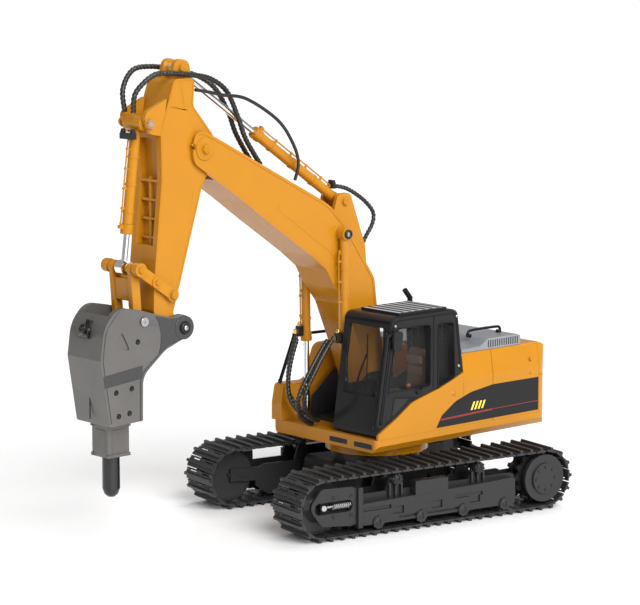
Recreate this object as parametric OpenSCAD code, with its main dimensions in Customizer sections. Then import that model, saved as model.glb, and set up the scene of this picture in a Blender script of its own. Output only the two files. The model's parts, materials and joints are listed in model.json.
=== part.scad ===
// Tracked excavator model with a breaker hammer.
// +X is forward, +Y is the machine's left, +Z is up, and the ground is z = 0.
// The upper works are drawn straight ahead of the slew axis, then turned by slew_deg.

/* [Undercarriage] */
// Distance between the centre lines of the two tracks
track_gauge = 132; // [126:1:140]
// Width of one track shoe
shoe_w = 40; // [36:1:42]
// Distance between the idler axle and the sprocket axle
wheelbase = 204.6; // [204:0.1:205]
// Number of shoes in one track
link_count = 56; // [56:1:56]
// Number of teeth on a sprocket
tooth_count = 14; // [14:1:14]

/* [Upper works] */
// Angle of the upper works about the slew axis
slew_deg = 9.4; // [-30:0.1:30]
// Width of the upper works
house_w = 120; // [116:1:124]
// Offset of the boom's middle plane from the slew axis
boom_y = -21; // [-22:0.5:-20]
// Width of the boom across its side plates
boom_w = 36; // [34:1:36]
// Width of the stick across its side plates
stick_w = 30; // [28:1:30]
// Width of the hammer across its side plates
hammer_w = 40; // [38:1:42]

/* [Cylinders] */
// Radius of a cylinder's barrel
barrel_r = 4; // [3.5:0.1:4.2]
// Radius of a cylinder's rod
rod_r = 2.3; // [2:0.1:2.5]
// Distance of each boom cylinder from the boom's middle plane
boom_cylinder_y = 22.8; // [22.5:0.1:23]

/* [Hidden] */

$fn = 48;
origin_x = -67.5;
clear = 0.3;

// Track loop: one straight run along the ground, one on top, and an arc at each end.
idler_x = wheelbase / 2 - 1;
sprocket_x = idler_x - wheelbase;
link_pitch = 2 * wheelbase / (link_count - tooth_count);
pitch_r = tooth_count * link_pitch / (2 * PI);
grouser_h = 2.2;
plate_out = 1;
plate_in = 0.7;
track_r = pitch_r + plate_out + grouser_h;
axle_z = track_r;
inner_r = pitch_r - plate_in;
track_y = track_gauge / 2;
roller_r = 4.8;
roller_z = axle_z - inner_r + clear + roller_r;
carrier_r = 4.2;
carrier_z = axle_z + inner_r - clear - carrier_r;
road_xs = [54, 14.8, -24.4, -63.6];
carrier_xs = [34.5, -41.9];
axle_r = 1.5;
run_fit = 0.06;
hose_r = 1.6;

// Upper works
half_w = house_w / 2;
deck_low = 58;
deck_top = 68;
turntable_r = 36;
skirt_r = 40.6;
body_top = 124.5;
cab_right = 7.2;
cab_left = half_w;
wall = 2.2;

// Boom, stick and hammer pivots, as [x, z] in the upper works
boom_pivot = [-3, 98];
boom_tip = [170, 292.8];
boom_foot_pin = [34.5, 69];
boom_top_pin = [36.5, 219.5];
arm_rear_pin = [23.5, 242.5];
arm_horn_pin = [183, 352];
bucket_pin = [219.5, 313.5];
rocker_pin = [201.4, 187.7];
cross_pin = [232.5, 209];
hammer_pin = [192.7, 162.7];
link_pin = [229.8, 170.8];
chisel_x = 246.2;
pin_r = 2;
foot_r = 3;
chisel_r = 6.5;
switch_at = [-92, 20];
// A cylinder's fixed pin stands clear of the deck by this much on all sides.
pocket = 5.9;

// ---------- shared shapes ----------

function unit(v) = v / norm(v);

// Points of the arc that rounds corner b, between neighbours a and c.
function corner_arc(a, b, c, r, steps = 6) =
    let (
        u = unit(a - b),
        v = unit(c - b),
        half = acos(u * v) / 2,
        centre = b + unit(u + v) * r / sin(half),
        p = b + u * r / tan(half) - centre,
        q = b + v * r / tan(half) - centre,
        start = atan2(p.y, p.x),
        turn = atan2(q.y, q.x) - start,
        sweep = turn > 180 ? turn - 360 : turn < -180 ? turn + 360 : turn
    )
    [for (k = [0 : steps]) centre + r * [cos(start + sweep * k / steps), sin(start + sweep * k / steps)]];

// Outline whose corners are [x, z, radius].
function outline(corners) =
    let (n = len(corners), xy = [for (c = corners) [c[0], c[1]]])
    [for (i = [0 : n - 1])
        each corners[i][2] == 0 ? [xy[i]]
            : corner_arc(xy[(i + n - 1) % n], xy[i], xy[(i + 1) % n], corners[i][2])];

// A flat outline in X and Z, as thick as the span from y0 to y1.
module slab(y0, y1) {
    translate([0, y1, 0])
        rotate([90, 0, 0])
            linear_extrude(y1 - y0)
                children();
}

// A rear view in Y and Z, drawn out along X from x0 to x1.
module along_x(x0, x1) {
    translate([x0, 0, 0])
        rotate([90, 0, 90])
            linear_extrude(x1 - x0)
                children();
}

// A round bar along Y.
module bar_y(at, r, y0, y1) {
    translate([at[0], y1, at[1]])
        rotate([90, 0, 0])
            cylinder(r = r, h = y1 - y0);
}

// A round bar in an X-Z plane, from point a to point b.
module bar_xz(a, b, r, y) {
    translate([a[0], y, a[1]])
        rotate([0, atan2(b[0] - a[0], b[1] - a[1]), 0])
            cylinder(r = r, h = norm(b - a));
}

// The point at the given distance from a, on the line to b.
function along(a, b, distance) = a + unit(b - a) * distance;

// A link plate with round ends, at points a and b.
module link_plate(a, b, r, y0, y1) {
    side = unit([a[1] - b[1], b[0] - a[0]]) * r * 0.8;
    bar_y(a, r, y0, y1);
    bar_y(b, r, y0, y1);
    slab(y0, y1)
        polygon([a + side, b + side, b - side, a - side]);
}

module base_frame() {
    translate([origin_x, 0, 0])
        children();
}

module house_frame() {
    translate([origin_x, 0, 0])
        rotate(slew_deg)
            children();
}

module boom_frame() {
    house_frame()
        translate([0, boom_y, 0])
            children();
}

// ---------- undercarriage ----------

// Place along the track loop: [x, z, turn about Y]. The run starts under the sprocket.
function loop_place(s) =
    let (arc = PI * pitch_r, low = wheelbase, front = low + arc, top = front + wheelbase)
    s < low ? [sprocket_x + s, axle_z - pitch_r, 0]
    : s < front ? let (a = (s - low) / pitch_r * 180 / PI)
        [idler_x + pitch_r * sin(a), axle_z - pitch_r * cos(a), a]
    : s < top ? [idler_x - (s - front), axle_z + pitch_r, 180]
    : let (a = 180 + (s - top) / pitch_r * 180 / PI)
        [sprocket_x + pitch_r * sin(a), axle_z - pitch_r * cos(a), a];

module track_link() {
    plate_l = link_pitch - 0.6;
    grouser_t = 2.6;
    horn_w = 3;
    horn_h = 1.5;
    translate([-plate_l / 2, -shoe_w / 2, -plate_out])
        cube([plate_l, shoe_w, plate_out + plate_in]);
    translate([-grouser_t / 2, -shoe_w / 2, -plate_out - grouser_h])
        cube([grouser_t, shoe_w, grouser_h + 0.5]);
    translate([-horn_w / 2, -horn_w / 2, 0])
        cube([horn_w, horn_w, plate_in + horn_h]);
}

module track(side) {
    color([0.1, 0.1, 0.11])
        base_frame()
            for (i = [0 : link_count - 1]) {
                place = loop_place((i + 0.5) * link_pitch);
                translate([place[0], side * track_y, place[1]])
                    rotate([0, -place[2], 0])
                        track_link();
            }
}

// A wheel with two rims, so that the track's horns pass between them.
module twin_rim_wheel(r, rim_in, rim_out, hub_r) {
    difference() {
        union() {
            bar_y([0, 0], hub_r, -rim_out, rim_out);
            bar_y([0, 0], r, rim_in, rim_out);
            bar_y([0, 0], r, -rim_out, -rim_in);
        }
        bar_y([0, 0], axle_r + run_fit, -rim_out - 1, rim_out + 1);
    }
}

module sprocket(side) {
    tip_r = inner_r - clear;
    root_r = tip_r - 3;
    color([0.13, 0.13, 0.14])
        base_frame()
            translate([sprocket_x, side * track_y, axle_z])
                mirror([0, side < 0 ? 1 : 0, 0])
                    difference() {
                        union() {
                            bar_y([0, 0], 12, -8, 19);
                            for (row = [-6.5, 3.5])
                                difference() {
                                    bar_y([0, 0], tip_r, row, row + 3);
                                    for (k = [0 : tooth_count - 1])
                                        rotate([0, k * 360 / tooth_count, 0])
                                            translate([0, 0, tip_r])
                                                bar_y([0, 0], 3, row - 1, row + 4);
                                }
                            bar_y([0, 0], root_r + 1, 13.5, 17);
                            for (k = [0 : 7])
                                rotate([0, k * 45, 0])
                                    bar_y([0, 9], 1.2, 17, 19.8);
                        }
                        bar_y([0, 0], axle_r + run_fit, -9, 16);
                    }
}

module idler(side) {
    color([0.16, 0.16, 0.17])
        base_frame()
            translate([idler_x, side * track_y, axle_z])
                twin_rim_wheel(inner_r - clear, 3, 8, 9);
}

module road_roller(side, index) {
    color([0.16, 0.16, 0.17])
        base_frame()
            translate([road_xs[index], side * track_y, roller_z])
                twin_rim_wheel(roller_r, 3, 8, 3.2);
}

module carrier_roller(side, index) {
    color([0.16, 0.16, 0.17])
        base_frame()
            translate([carrier_xs[index], side * track_y, carrier_z])
                twin_rim_wheel(carrier_r, 3, 7, 2.8);
}

// The beam inside one track loop, with the fixed axles that its wheels turn on.
module track_frame(side) {
    plate_t = 2;
    plate_y = 8.6;
    plate = outline([[78, 28, 3], [70, 31, 3], [-78, 31, 3], [-80, 14, 3], [-74, roller_z - 3, 3],
        [66, roller_z - 3, 3], [78, 14, 3]]);
    color([0.12, 0.12, 0.13])
        base_frame()
            translate([0, side * track_y, 0])
                mirror([0, side < 0 ? 1 : 0, 0]) {
                    for (y = [-plate_y - plate_t, plate_y])
                        slab(y, y + plate_t)
                            polygon(plate);
                    translate([-78, -plate_y - 1, 17])
                        cube([154, 2 * plate_y + 2, 7]);
                    for (x = road_xs)
                        bar_y([x, roller_z], axle_r, -plate_y - 1, plate_y + 1);
                    for (x = carrier_xs) {
                        bar_y([x, carrier_z], axle_r, -plate_y - plate_t, plate_y + plate_t);
                        for (y = [-plate_y - plate_t, plate_y])
                            slab(y, y + plate_t)
                                polygon([[x - 7.4, 31.1], [x + 7.4, 31.1], [x + 3.2, carrier_z + 2.5],
                                    [x - 3.2, carrier_z + 2.5]]);
                    }
                    for (end = [[idler_x, 70], [sprocket_x, -70]]) {
                        bar_y([end[0], axle_z],
                            axle_r, -plate_y - 1, end[0] > 0 ? plate_y + 5 : plate_y - 2);
                        slab(-plate_y - plate_t, -plate_y)
                            polygon([[end[1], 18], [end[0], 20], [end[0], 30], [end[1], 29]]);
                        if (end[0] > 0)
                            slab(plate_y, plate_y + plate_t)
                                polygon([[end[1], 18], [end[0], 20], [end[0], 30], [end[1], 29]]);
                    }
                }
}

// The outer cover of one track frame: guard plate at the front, long beam behind it.
module side_cover(side) {
    guard = outline([[115, 27, 7], [104, 40.5, 5], [76, 39.5, 1], [76, 9.5, 1], [104, 12, 5]]);
    beam = outline([[68, 25, 2], [-74, 29, 2], [-74, 8.5, 2], [68, 8.5, 2]]);
    inner_y = 10.9;
    color([0.2, 0.2, 0.21])
        base_frame()
            translate([0, side * track_y, 0])
                mirror([0, side < 0 ? 1 : 0, 0]) {
                    difference() {
                        slab(15, 17.5)
                            polygon(guard);
                        hull()
                            for (x = [idler_x + 4.5, 81])
                                bar_y([x, 25.5], 4.5, 14, 19);
                    }
                    translate([68, 11, 7])
                        cube([4, 7.5, 31]);
                    translate([71, 11, 10])
                        cube([6, 5, 28]);
                    difference() {
                        slab(inner_y, 18)
                            polygon(beam);
                        for (x = [55, -30])
                            translate([x - 13, 16.5, 19])
                                cube([26, 3, 3]);
                        for (x = [35.5, 0, -35.5])
                            translate([x - 5, 16.5, 14])
                                cube([10, 3, 6]);
                        translate([-25, 16.5, 10.5])
                            cube([60, 3, 2]);
                    }
                    slab(inner_y, inner_y + 7.4)
                        polygon([[-10, 27.3], [20, 26.5], [20, 37], [-10, 37]]);
                    for (x = road_xs)
                        bar_y([x, roller_z + 0.6], 4.6, 17, 19.4);
                    for (x = carrier_xs)
                        bar_y([x, carrier_z - 1.5], 4.4, 11, 15);
                }
}

module tensioner_springs() {
    coil = 1.9;
    start_x = 77.3;
    out_y = 13.9;
    color([0.75, 0.75, 0.77])
        base_frame()
            for (side = [-1, 1])
                translate([start_x, side * (track_y + out_y), axle_z + 0.6])
                    rotate([0, 90, 0]) {
                        cylinder(r = 1.4, h = 22);
                        for (k = [0 : 7])
                            translate([0, 0, 0.7 + k * coil])
                                cylinder(r = 3, h = 1);
                    }
}

module chassis_frame() {
    hub = outline([[44, 17, 3], [40, 38, 4], [-40, 38, 4], [-44, 17, 3]]);
    arm = outline([[-58, 15, 2], [58, 15, 2], [58, 26, 2], [38, 34, 4], [-38, 34, 4], [-58, 26, 2]]);
    color([0.13, 0.13, 0.14])
        base_frame() {
            difference() {
                slab(-42, 42)
                    polygon(hub);
                translate([-36, -38, 13])
                    cube([72, 76, 21]);
            }
            for (x = [-34, 20])
                translate([x, 0, 0])
                    rotate([0, 0, 90])
                        slab(-14, 0)
                            polygon([for (p = arm) [p[0] * 0.93, p[1]]]);
            translate([0, 0, 37])
                cylinder(r = 33, h = 5.5);
        }
}

module turntable_ring() {
    color([0.2, 0.2, 0.21])
        base_frame() {
            difference() {
                translate([0, 0, 42.5])
                    cylinder(r = turntable_r, h = 4);
                translate([0, 0, 42])
                    cylinder(r = 24, h = 6);
            }
            for (k = [0 : 11])
                rotate(k * 30)
                    translate([29, 0, 46])
                        cylinder(r = 1.6, h = 1.2);
        }
}

// ---------- upper works ----------

// Plan of the deck, as [x, y, radius] corners.
deck_plan = [[56, -half_w, 4], [56, half_w, 4], [-130, half_w, 9], [-136, 25, 60],
    [-136, -25, 60], [-130, -half_w, 9]];

module house_deck() {
    lip = 63;
    color([0.93, 0.6, 0.13])
        house_frame()
            difference() {
                union() {
                    intersection() {
                        translate([0, 0, deck_low])
                            linear_extrude(deck_top - deck_low)
                                polygon(outline(deck_plan));
                        along_x(-140, 60)
                            polygon([[-half_w, 80], [-half_w, lip], [-half_w + 5, deck_low - 1],
                                [half_w - 5, deck_low - 1], [half_w, lip], [half_w, 80]]);
                        slab(-half_w, half_w)
                            polygon([[-136, 80], [-136, lip], [-130, deck_low - 1], [60, deck_low - 1],
                                [60, 80]]);
                    }
                    translate([0, 0, 47.8])
                        cylinder(r = skirt_r, h = deck_low - 47);
                }
                translate([0, 0, 45])
                    cylinder(r = turntable_r - 8, h = 12);
                for (y = [16, 46])
                    translate([54.5, y - 5, 60.5])
                        cube([3, 10, 4]);
                translate([switch_at[0] - 6, switch_at[1] - 3, deck_low - 1])
                    cube([12, 6, 5]);
                for (s = [-1, 1])
                    translate([boom_foot_pin[0] - pocket, boom_y + s * boom_cylinder_y - 2.8,
                        boom_foot_pin[1] - pocket])
                        cube([2 * pocket, 5.6, 20]);
            }
}

// Rear bodywork: one side profile, one plan and one rear view with rounded shoulders.
body_profile = [[-37, deck_top + 0.1, 0], [-37, body_top + 1, 2], [-136, body_top + 1, 18],
    [-136, 74, 4], [-132, deck_top + 0.1, 2]];
split_x = -121.5;
seam_w = 0.5;

// The rear view, drawn in by the given distance.
function shoulders(inset) = [[-half_w + inset, deck_top - 1, 0], [-half_w + inset, 104, 20],
    [-57 + inset, body_top - inset, 3], [57 - inset, body_top - inset, 3],
    [half_w - inset, 104, 20], [half_w - inset, deck_top - 1, 0]];

module body_block() {
    intersection() {
        slab(-half_w, half_w)
            polygon(outline(body_profile));
        along_x(-140, 0)
            polygon(outline(shoulders(0)));
        linear_extrude(200)
            polygon(outline(deck_plan));
    }
}

module engine_cover() {
    seam_x = -69.5;
    color([0.93, 0.6, 0.13])
        house_frame()
            difference() {
                intersection() {
                    body_block();
                    translate([split_x + 0.1, -80, 0])
                        cube([120, 160, 200]);
                }
                translate([split_x - 1, -half_w + wall, deck_top - 1])
                    cube([-37 - split_x + 1 - wall, house_w - 2 * wall, 104 - deck_top]);
                translate([split_x - 1, -55, 100])
                    cube([-37 - split_x + 1 - wall, 110, body_top - 103]);
                difference() {
                    along_x(seam_x, seam_x + seam_w)
                        square([200, 400], center = true);
                    along_x(seam_x - 1, seam_x + 1 + seam_w)
                        polygon(outline(shoulders(seam_w)));
                }
            }
}

module counterweight() {
    seam_z = 98;
    color([0.93, 0.6, 0.13])
        house_frame()
            difference() {
                intersection() {
                    body_block();
                    translate([-140, -80, 0])
                        cube([split_x - 0.1 + 140, 160, 200]);
                }
                translate([0, 0, seam_z])
                    difference() {
                        linear_extrude(seam_w)
                            square([400, 200], center = true);
                        translate([0, 0, -1])
                            linear_extrude(3)
                                polygon(outline([for (c = deck_plan)
                                    [c[0] < 0 ? c[0] + seam_w : c[0], c[1] - seam_w * sign(c[1]), c[2]]]));
                    }
            }
}

module cab_side_panel() {
    sweep = outline([[54, 61, 2], [54, 72, 3], [36, 82, 20], [18, 93.5, 20], [-10, 100.5, 30],
        [-36.7, 110, 0], [-36.7, 61, 0]]);
    color([0.93, 0.6, 0.13])
        house_frame()
            slab(half_w - wall, half_w)
                polygon([for (p = sweep) [p[0], max(p[1], deck_top + 0.1)]]);
}

module right_side_cover() {
    cover_t = 11.4;
    profile = outline([[57.5, deck_top + 0.1, 0], [57.5, 81, 6], [54.5, 97, 4], [24, 96, 8],
        [14, body_top, 8], [-36.7, body_top + 1, 0], [-36.7, deck_top + 0.1, 0]]);
    color([0.93, 0.6, 0.13])
        house_frame()
            difference() {
                slab(-half_w, -half_w + cover_t)
                    polygon(profile);
                translate([-34, -half_w + wall, deck_top - 1])
                    cube([86, cover_t - 2 * wall, 24]);
            }
}

module hood_grille() {
    low = body_top + 0.1;
    section = outline([[-38, low, 0], [-38, 127, 1], [-58, 127.5, 8], [-67, 133, 8], [-102, 133, 2],
        [-104, low, 0]]);
    color([0.55, 0.56, 0.58])
        house_frame()
            difference() {
                slab(-50, 56)
                    polygon(section);
                for (k = [0 : 13])
                    translate([-101 + k * 2.5, 50, low + 1.1])
                        cube([1.3, 10, 5.8]);
            }
}

module exhaust_pipe() {
    color([0.1, 0.1, 0.11])
        house_frame() {
            translate([-70, -36, body_top + 8.6])
                cylinder(r = 4, h = 13);
            bar_xz([-70, body_top + 20], [-70, 156], 2.2, -36);
            bar_xz([-70, 155], [-64, 162], 2.2, -36);
        }
}

module handrails() {
    r = 1.4;
    thin = 1.25;
    y = -half_w + 5;
    knee = [53, 98.6];
    shoulder = [38, 134];
    rear = [-8, 133];
    color([0.1, 0.1, 0.11])
        house_frame() {
            bar_xz(knee, shoulder, r, y);
            bar_xz(shoulder, rear, thin, y);
            bar_xz(rear, [rear[0], body_top + 1.1], r, y);
            for (p = [knee, shoulder, rear])
                translate([p[0], y, p[1]])
                    sphere(r = r + 0.4);
            bar_xz([57, 80], [46, 148], thin, half_w + 1.6);
            for (p = [[57, 80], [46, 148]])
                translate([p[0] - 5, half_w + 0.4, p[1] - 1.2])
                    cube([5, 2.4, 2.4]);
        }
}

module boom_bracket() {
    cheek = outline([[-14, deck_top + 0.1, 0], [-12.5, 107, 9], [7, 107, 9], [33, 86, 4],
        [31, deck_top + 0.1, 0]]);
    ear = outline([[-5, 0, 0], [-5, 5.5, 4], [5, 5.5, 4], [5, 0, 0]]);
    gap = boom_w / 2 + 0.4;
    color([0.12, 0.12, 0.13])
        boom_frame() {
            for (s = [-1, 1])
                slab(s > 0 ? gap : -gap - 1.4, s > 0 ? gap + 1.4 : -gap)
                    polygon(cheek);
            translate([-14, -gap - 1, deck_top + 0.1])
                cube([45, 2 * gap + 2, 3]);
            for (s = [-1, 1])
                for (side = [-1, 1])
                    translate([boom_foot_pin[0], s * boom_cylinder_y + side * 3.6, deck_top - 4.2])
                        slab(-0.8, 0.8)
                            polygon([for (p = ear) [p[0], p[1] + 4.4]]);
            bar_y(boom_pivot, foot_r - run_fit, -gap - 1, gap + 1);
            for (s = [-1, 1])
                bar_y(boom_foot_pin, 0.95, s * boom_cylinder_y - 4.6, s * boom_cylinder_y + 4.6);
        }
}

module battery_pack() {
    color([0.15, 0.3, 0.6])
        house_frame()
            for (k = [0 : 4])
                bar_y([-66 - k * 8, deck_top + 8], 3.6, -12, 40);
}

module control_board() {
    color([0.05, 0.35, 0.15])
        house_frame() {
            translate([-98, -50, deck_top + 24])
                cube([50, 36, 1.6]);
            for (x = [-92, -78, -62])
                translate([x, -44, deck_top + 25.5])
                    cube([9, 14, 3]);
            for (x = [-96, -52])
                for (y = [-47, -18])
                    translate([x, y, deck_top])
                        cylinder(r = 1.5, h = 24.5);
        }
}

module slew_motor() {
    color([0.7, 0.7, 0.72])
        house_frame() {
            translate([-50, 20, deck_top + 0.1])
                cylinder(r = 10, h = 28);
            translate([-50, 20, deck_top + 28])
                cylinder(r = 2, h = 6);
        }
}

module power_switch() {
    color([0.1, 0.1, 0.1])
        house_frame()
            translate([switch_at[0] - 5, switch_at[1] - 2.6, deck_low - 1.2])
                cube([5, 5.2, 4.6]);
}

// ---------- cab ----------

cab_outline = [[53, deck_top + 0.6, 3], [39.5, 161, 7], [-29.5, 161, 5], [-34, 110, 1],
    [-34, deck_top + 0.6, 1]];
cab_inner = [[50.4, deck_top + 3, 2], [37.5, 158.4, 5], [-27.3, 158.4, 3], [-31.6, 110, 0],
    [-31.6, deck_top + 3, 0]];
side_glass = [[43.8, 104, 5], [35, 151.5, 4], [0, 151.5, 3], [0, 104, 3]];
rear_glass = [[-9, 102, 2], [-9, 151, 3], [-24.5, 151, 3], [-26.5, 108, 3]];
glass_t = 1;

// The outline of a pane, a little larger than its opening, whose middle is at x = mid.
function grown(pane, mid) =
    outline([for (c = pane) [c[0] + 0.8 * sign(c[0] - mid), c[1] + 0.8 * sign(c[1] - 125), c[2]]]);

module front_opening(low, high, side_gap, depth) {
    lean = (high - low) * 0.145;
    x = 53 - (low - deck_top) * 0.145;
    slab(cab_right + side_gap, cab_left - side_gap)
        polygon([[x + 2, low], [x - lean + 2, high], [x - lean - depth, high], [x - depth, low]]);
}

module cab_frame() {
    color([0.06, 0.06, 0.07])
        house_frame() {
            difference() {
                slab(cab_right, cab_left - wall - 0.1)
                    polygon(outline(cab_outline));
                slab(cab_right + 2, cab_left - 5)
                    polygon(outline(cab_inner));
                front_opening(99, 152, 6, 8);
                slab(cab_right - 1, cab_left)
                    polygon(outline(side_glass));
                slab(cab_right - 1, cab_left)
                    polygon(outline(rear_glass));
                translate([53 - 1, cab_right + 7, 76])
                    cube([5, 38, 15]);
            }
            difference() {
                slab(cab_left - wall - 0.2, cab_left)
                    polygon(outline([[46.5, 80, 0], [52.4, 76, 1], [39.8, 160.5, 7], [-29, 160.5, 5],
                        [-35.5, 111.2, 1],
                        [-9.8, 101.7, 20], [18.5, 94.6, 20], [36.5, 83.1, 10]]));
                slab(cab_left - 6, cab_left + 1)
                    polygon(outline(side_glass));
                slab(cab_left - 6, cab_left + 1)
                    polygon(outline(rear_glass));
            }
            difference() {
                translate([-22, cab_right + 5, 160.5])
                    cube([50, 43, 2.2]);
                for (k = [0 : 5])
                    translate([-17 + k * 7.5, cab_right + 9, 162])
                        cube([3.5, 35, 2]);
            }
        }
}

module cab_windows() {
    color([0.7, 0.8, 0.85, 0.35])
        house_frame() {
            intersection() {
                front_opening(98, 153, 5, 2.2 + glass_t);
                slab(0, 80)
                    polygon(outline(cab_inner));
            }
            for (y = [cab_left - 5 - glass_t, cab_right + 2])
                slab(y, y + glass_t) {
                    polygon(grown(side_glass, 20));
                    polygon(grown(rear_glass, -17));
                }
        }
}

module cab_interior() {
    seat_y = (cab_left + cab_right) / 2;
    color([0.25, 0.22, 0.2])
        house_frame() {
            translate([-14, seat_y - 11, 84])
                cube([24, 22, 7]);
            translate([0, seat_y, 0])
                slab(-10, 10)
                    polygon(outline([[-16, 88, 1], [-9, 88, 1], [-13, 128, 3], [-21, 128, 3]]));
            translate([-10, seat_y - 8, deck_top + 3])
                cube([18, 16, 14]);
            for (side = [-1, 1]) {
                translate([-8, seat_y + side * 15 - 3, deck_top + 3])
                    cube([24, 6, 24]);
                translate([12, seat_y + side * 15, 94])
                    cylinder(r = 1, h = 10);
                translate([12, seat_y + side * 15, 104])
                    sphere(r = 2);
            }
            translate([26, seat_y - 8, deck_top + 3])
                cube([5, 4, 18]);
            translate([26, seat_y + 4, deck_top + 3])
                cube([5, 4, 18]);
        }
}

module mirror_frame() {
    color([0.08, 0.08, 0.09])
        house_frame() {
            slab(half_w + 3, half_w + 5)
                polygon(outline([[42.6, 136, 2], [42.6, 151, 3], [32.6, 151, 3], [35.5, 136, 2]]));
            slab(half_w + 0.1, half_w + 3.5)
                polygon([[38, 146], [40, 146], [40, 148], [38, 148]]);
        }
}

// ---------- boom ----------

boom_outline = [[181.4, 311.8, 11.4], [181.4, 283.5, 11], [134, 251.7, 60], [107.5, 232.8, 0],
    [66.2, 204.5, 12], [50.5, 192.1, 6], [41.6, 176.9, 12], [29.9, 162.6, 8], [16.3, 130.1, 0],
    [4, 97, 0], [5.5, 90, 6], [-11.5, 90, 7], [-11, 110, 0], [-2.5, 157.9, 12], [0.4, 181.4, 16],
    [30.3, 224.9, 20], [46.1, 240.9, 20], [57.1, 247.6, 10]];
boom_hollow = [[138, 283, 4], [138, 260.5, 4], [104, 236, 0], [62, 207, 10], [34, 176, 10],
    [18, 140, 0], [8, 114, 2], [-5, 114, 2], [1, 157, 8], [5, 180, 12], [34, 223, 16], [60, 245, 8]];

module boom_shell(side) {
    half = boom_w / 2;
    fork = stick_w / 2 + 0.4;
    seam = 0.05;
    bracket = outline([[36, 232, 0], [31, 249, 5], [18, 249, 5], [2, 206, 0], [0, 182, 0], [14, 200, 0]]);
    color([0.93, 0.6, 0.13])
        boom_frame()
            mirror([0, side < 0 ? 1 : 0, 0]) {
                difference() {
                    slab(seam, half)
                        polygon(outline(boom_outline));
                    slab(-1, half - wall)
                        polygon(outline(boom_hollow));
                    bar_y(boom_tip, 26, -1, fork);
                    bar_y(boom_tip, pin_r, fork - 1, half + 1);
                    bar_y(boom_pivot, foot_r, -1, half + 1);
                    bar_y(boom_top_pin, 2.42, half - 4, half + 1);
                    slab(-1, 6)
                        polygon([[50, 252], [28, 228], [10, 236], [30, 260]]);
                }
                difference() {
                    slab(6.2, 9.4)
                        polygon(bracket);
                    bar_y(arm_rear_pin, pin_r, 5, 11);
                }
            }
}

module boom_pins() {
    half = boom_w / 2;
    color([0.75, 0.75, 0.77])
        boom_frame() {
            bar_y(boom_tip, pin_r - 0.02, -half - 0.8, half + 0.8);
            for (s = [-1, 1]) {
                bar_y(boom_tip, 3.2, s > 0 ? half + 0.1 : -half - 1.4, s > 0 ? half + 1.4 : -half - 0.1);
                bar_y(arm_rear_pin, 3, s > 0 ? 9.5 : -10.7, s > 0 ? 10.7 : -9.5);
                bar_y(boom_top_pin, 2.4, s > 0 ? half - 3 : -half - 10, s > 0 ? half + 10 : -half + 3);
            }
            bar_y(arm_rear_pin, pin_r - 0.02, -10, 10);
        }
}

// Barrel of a cylinder: hinged at a, open towards b, with a gland at its mouth.
module barrel(a, b, r, length, y, eye_r, eye_w, pin) {
    difference() {
        union() {
            bar_y(a, eye_r, y - eye_w / 2, y + eye_w / 2);
            bar_xz(along(a, b, 1), along(a, b, length), r, y);
            bar_xz(along(a, b, length - 5), along(a, b, length + 1), r + 0.7, y);
            for (d = [0.3, 0.55, 0.8])
                bar_xz(along(a, b, length * d), along(a, b, length * d + 1.6), r + 0.5, y);
        }
        bar_xz(along(a, b, eye_r + 2), along(a, b, length + 2), rod_r + run_fit, y);
        bar_y(a, pin + run_fit, y - eye_w, y + eye_w);
    }
}

// Rod of a cylinder: its eye is at b, and it reaches back into the barrel.
module rod(a, b, reach, y, eye_r, eye_w, hole_r) {
    difference() {
        union() {
            bar_xz(along(a, b, reach), along(a, b, norm(b - a) - hole_r), rod_r, y);
            bar_y(b, eye_r, y - eye_w / 2, y + eye_w / 2);
        }
        bar_y(b, hole_r, y - eye_w, y + eye_w);
    }
}

module boom_barrels() {
    color([0.93, 0.6, 0.13])
        boom_frame()
            for (s = [-1, 1])
                barrel(boom_top_pin, boom_foot_pin, barrel_r - 0.4, 88, s * boom_cylinder_y, 5, 8.6, 2.4);
}

module boom_rods() {
    color([0.85, 0.86, 0.88])
        boom_frame()
            for (s = [-1, 1])
                rod(boom_top_pin, boom_foot_pin, 30, s * boom_cylinder_y, 4, 5, 3);
}

module arm_barrel() {
    color([0.93, 0.6, 0.13])
        boom_frame()
            barrel(arm_rear_pin, arm_horn_pin, barrel_r, 102, 0, 5, 11.6, pin_r);
}

module arm_rod() {
    color([0.85, 0.86, 0.88])
        boom_frame()
            rod(arm_rear_pin, arm_horn_pin, 49, 0, 4.6, 8, 3.6);
}

// ---------- stick ----------

stick_outline = [[177, 345, 6], [178.6, 324.7, 6], [158, 300, 12], [161, 280, 14], [170, 268, 0],
    [191.6, 197, 14], [198.8, 174, 2], [197, 170.5, 1], [187, 170.5, 6], [184.8, 156, 6],
    [201, 154.5, 7], [217, 176, 6], [216, 200, 6], [208.5, 272, 20], [209, 308, 14],
    [196, 345, 6]];
stick_hollow = [[181, 340, 2], [183, 322, 2], [172, 302, 3], [172, 284, 3], [180, 262, 0],
    [194, 214, 2], [204, 214, 2], [199, 270, 10], [201, 306, 8], [190, 340, 2]];

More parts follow.
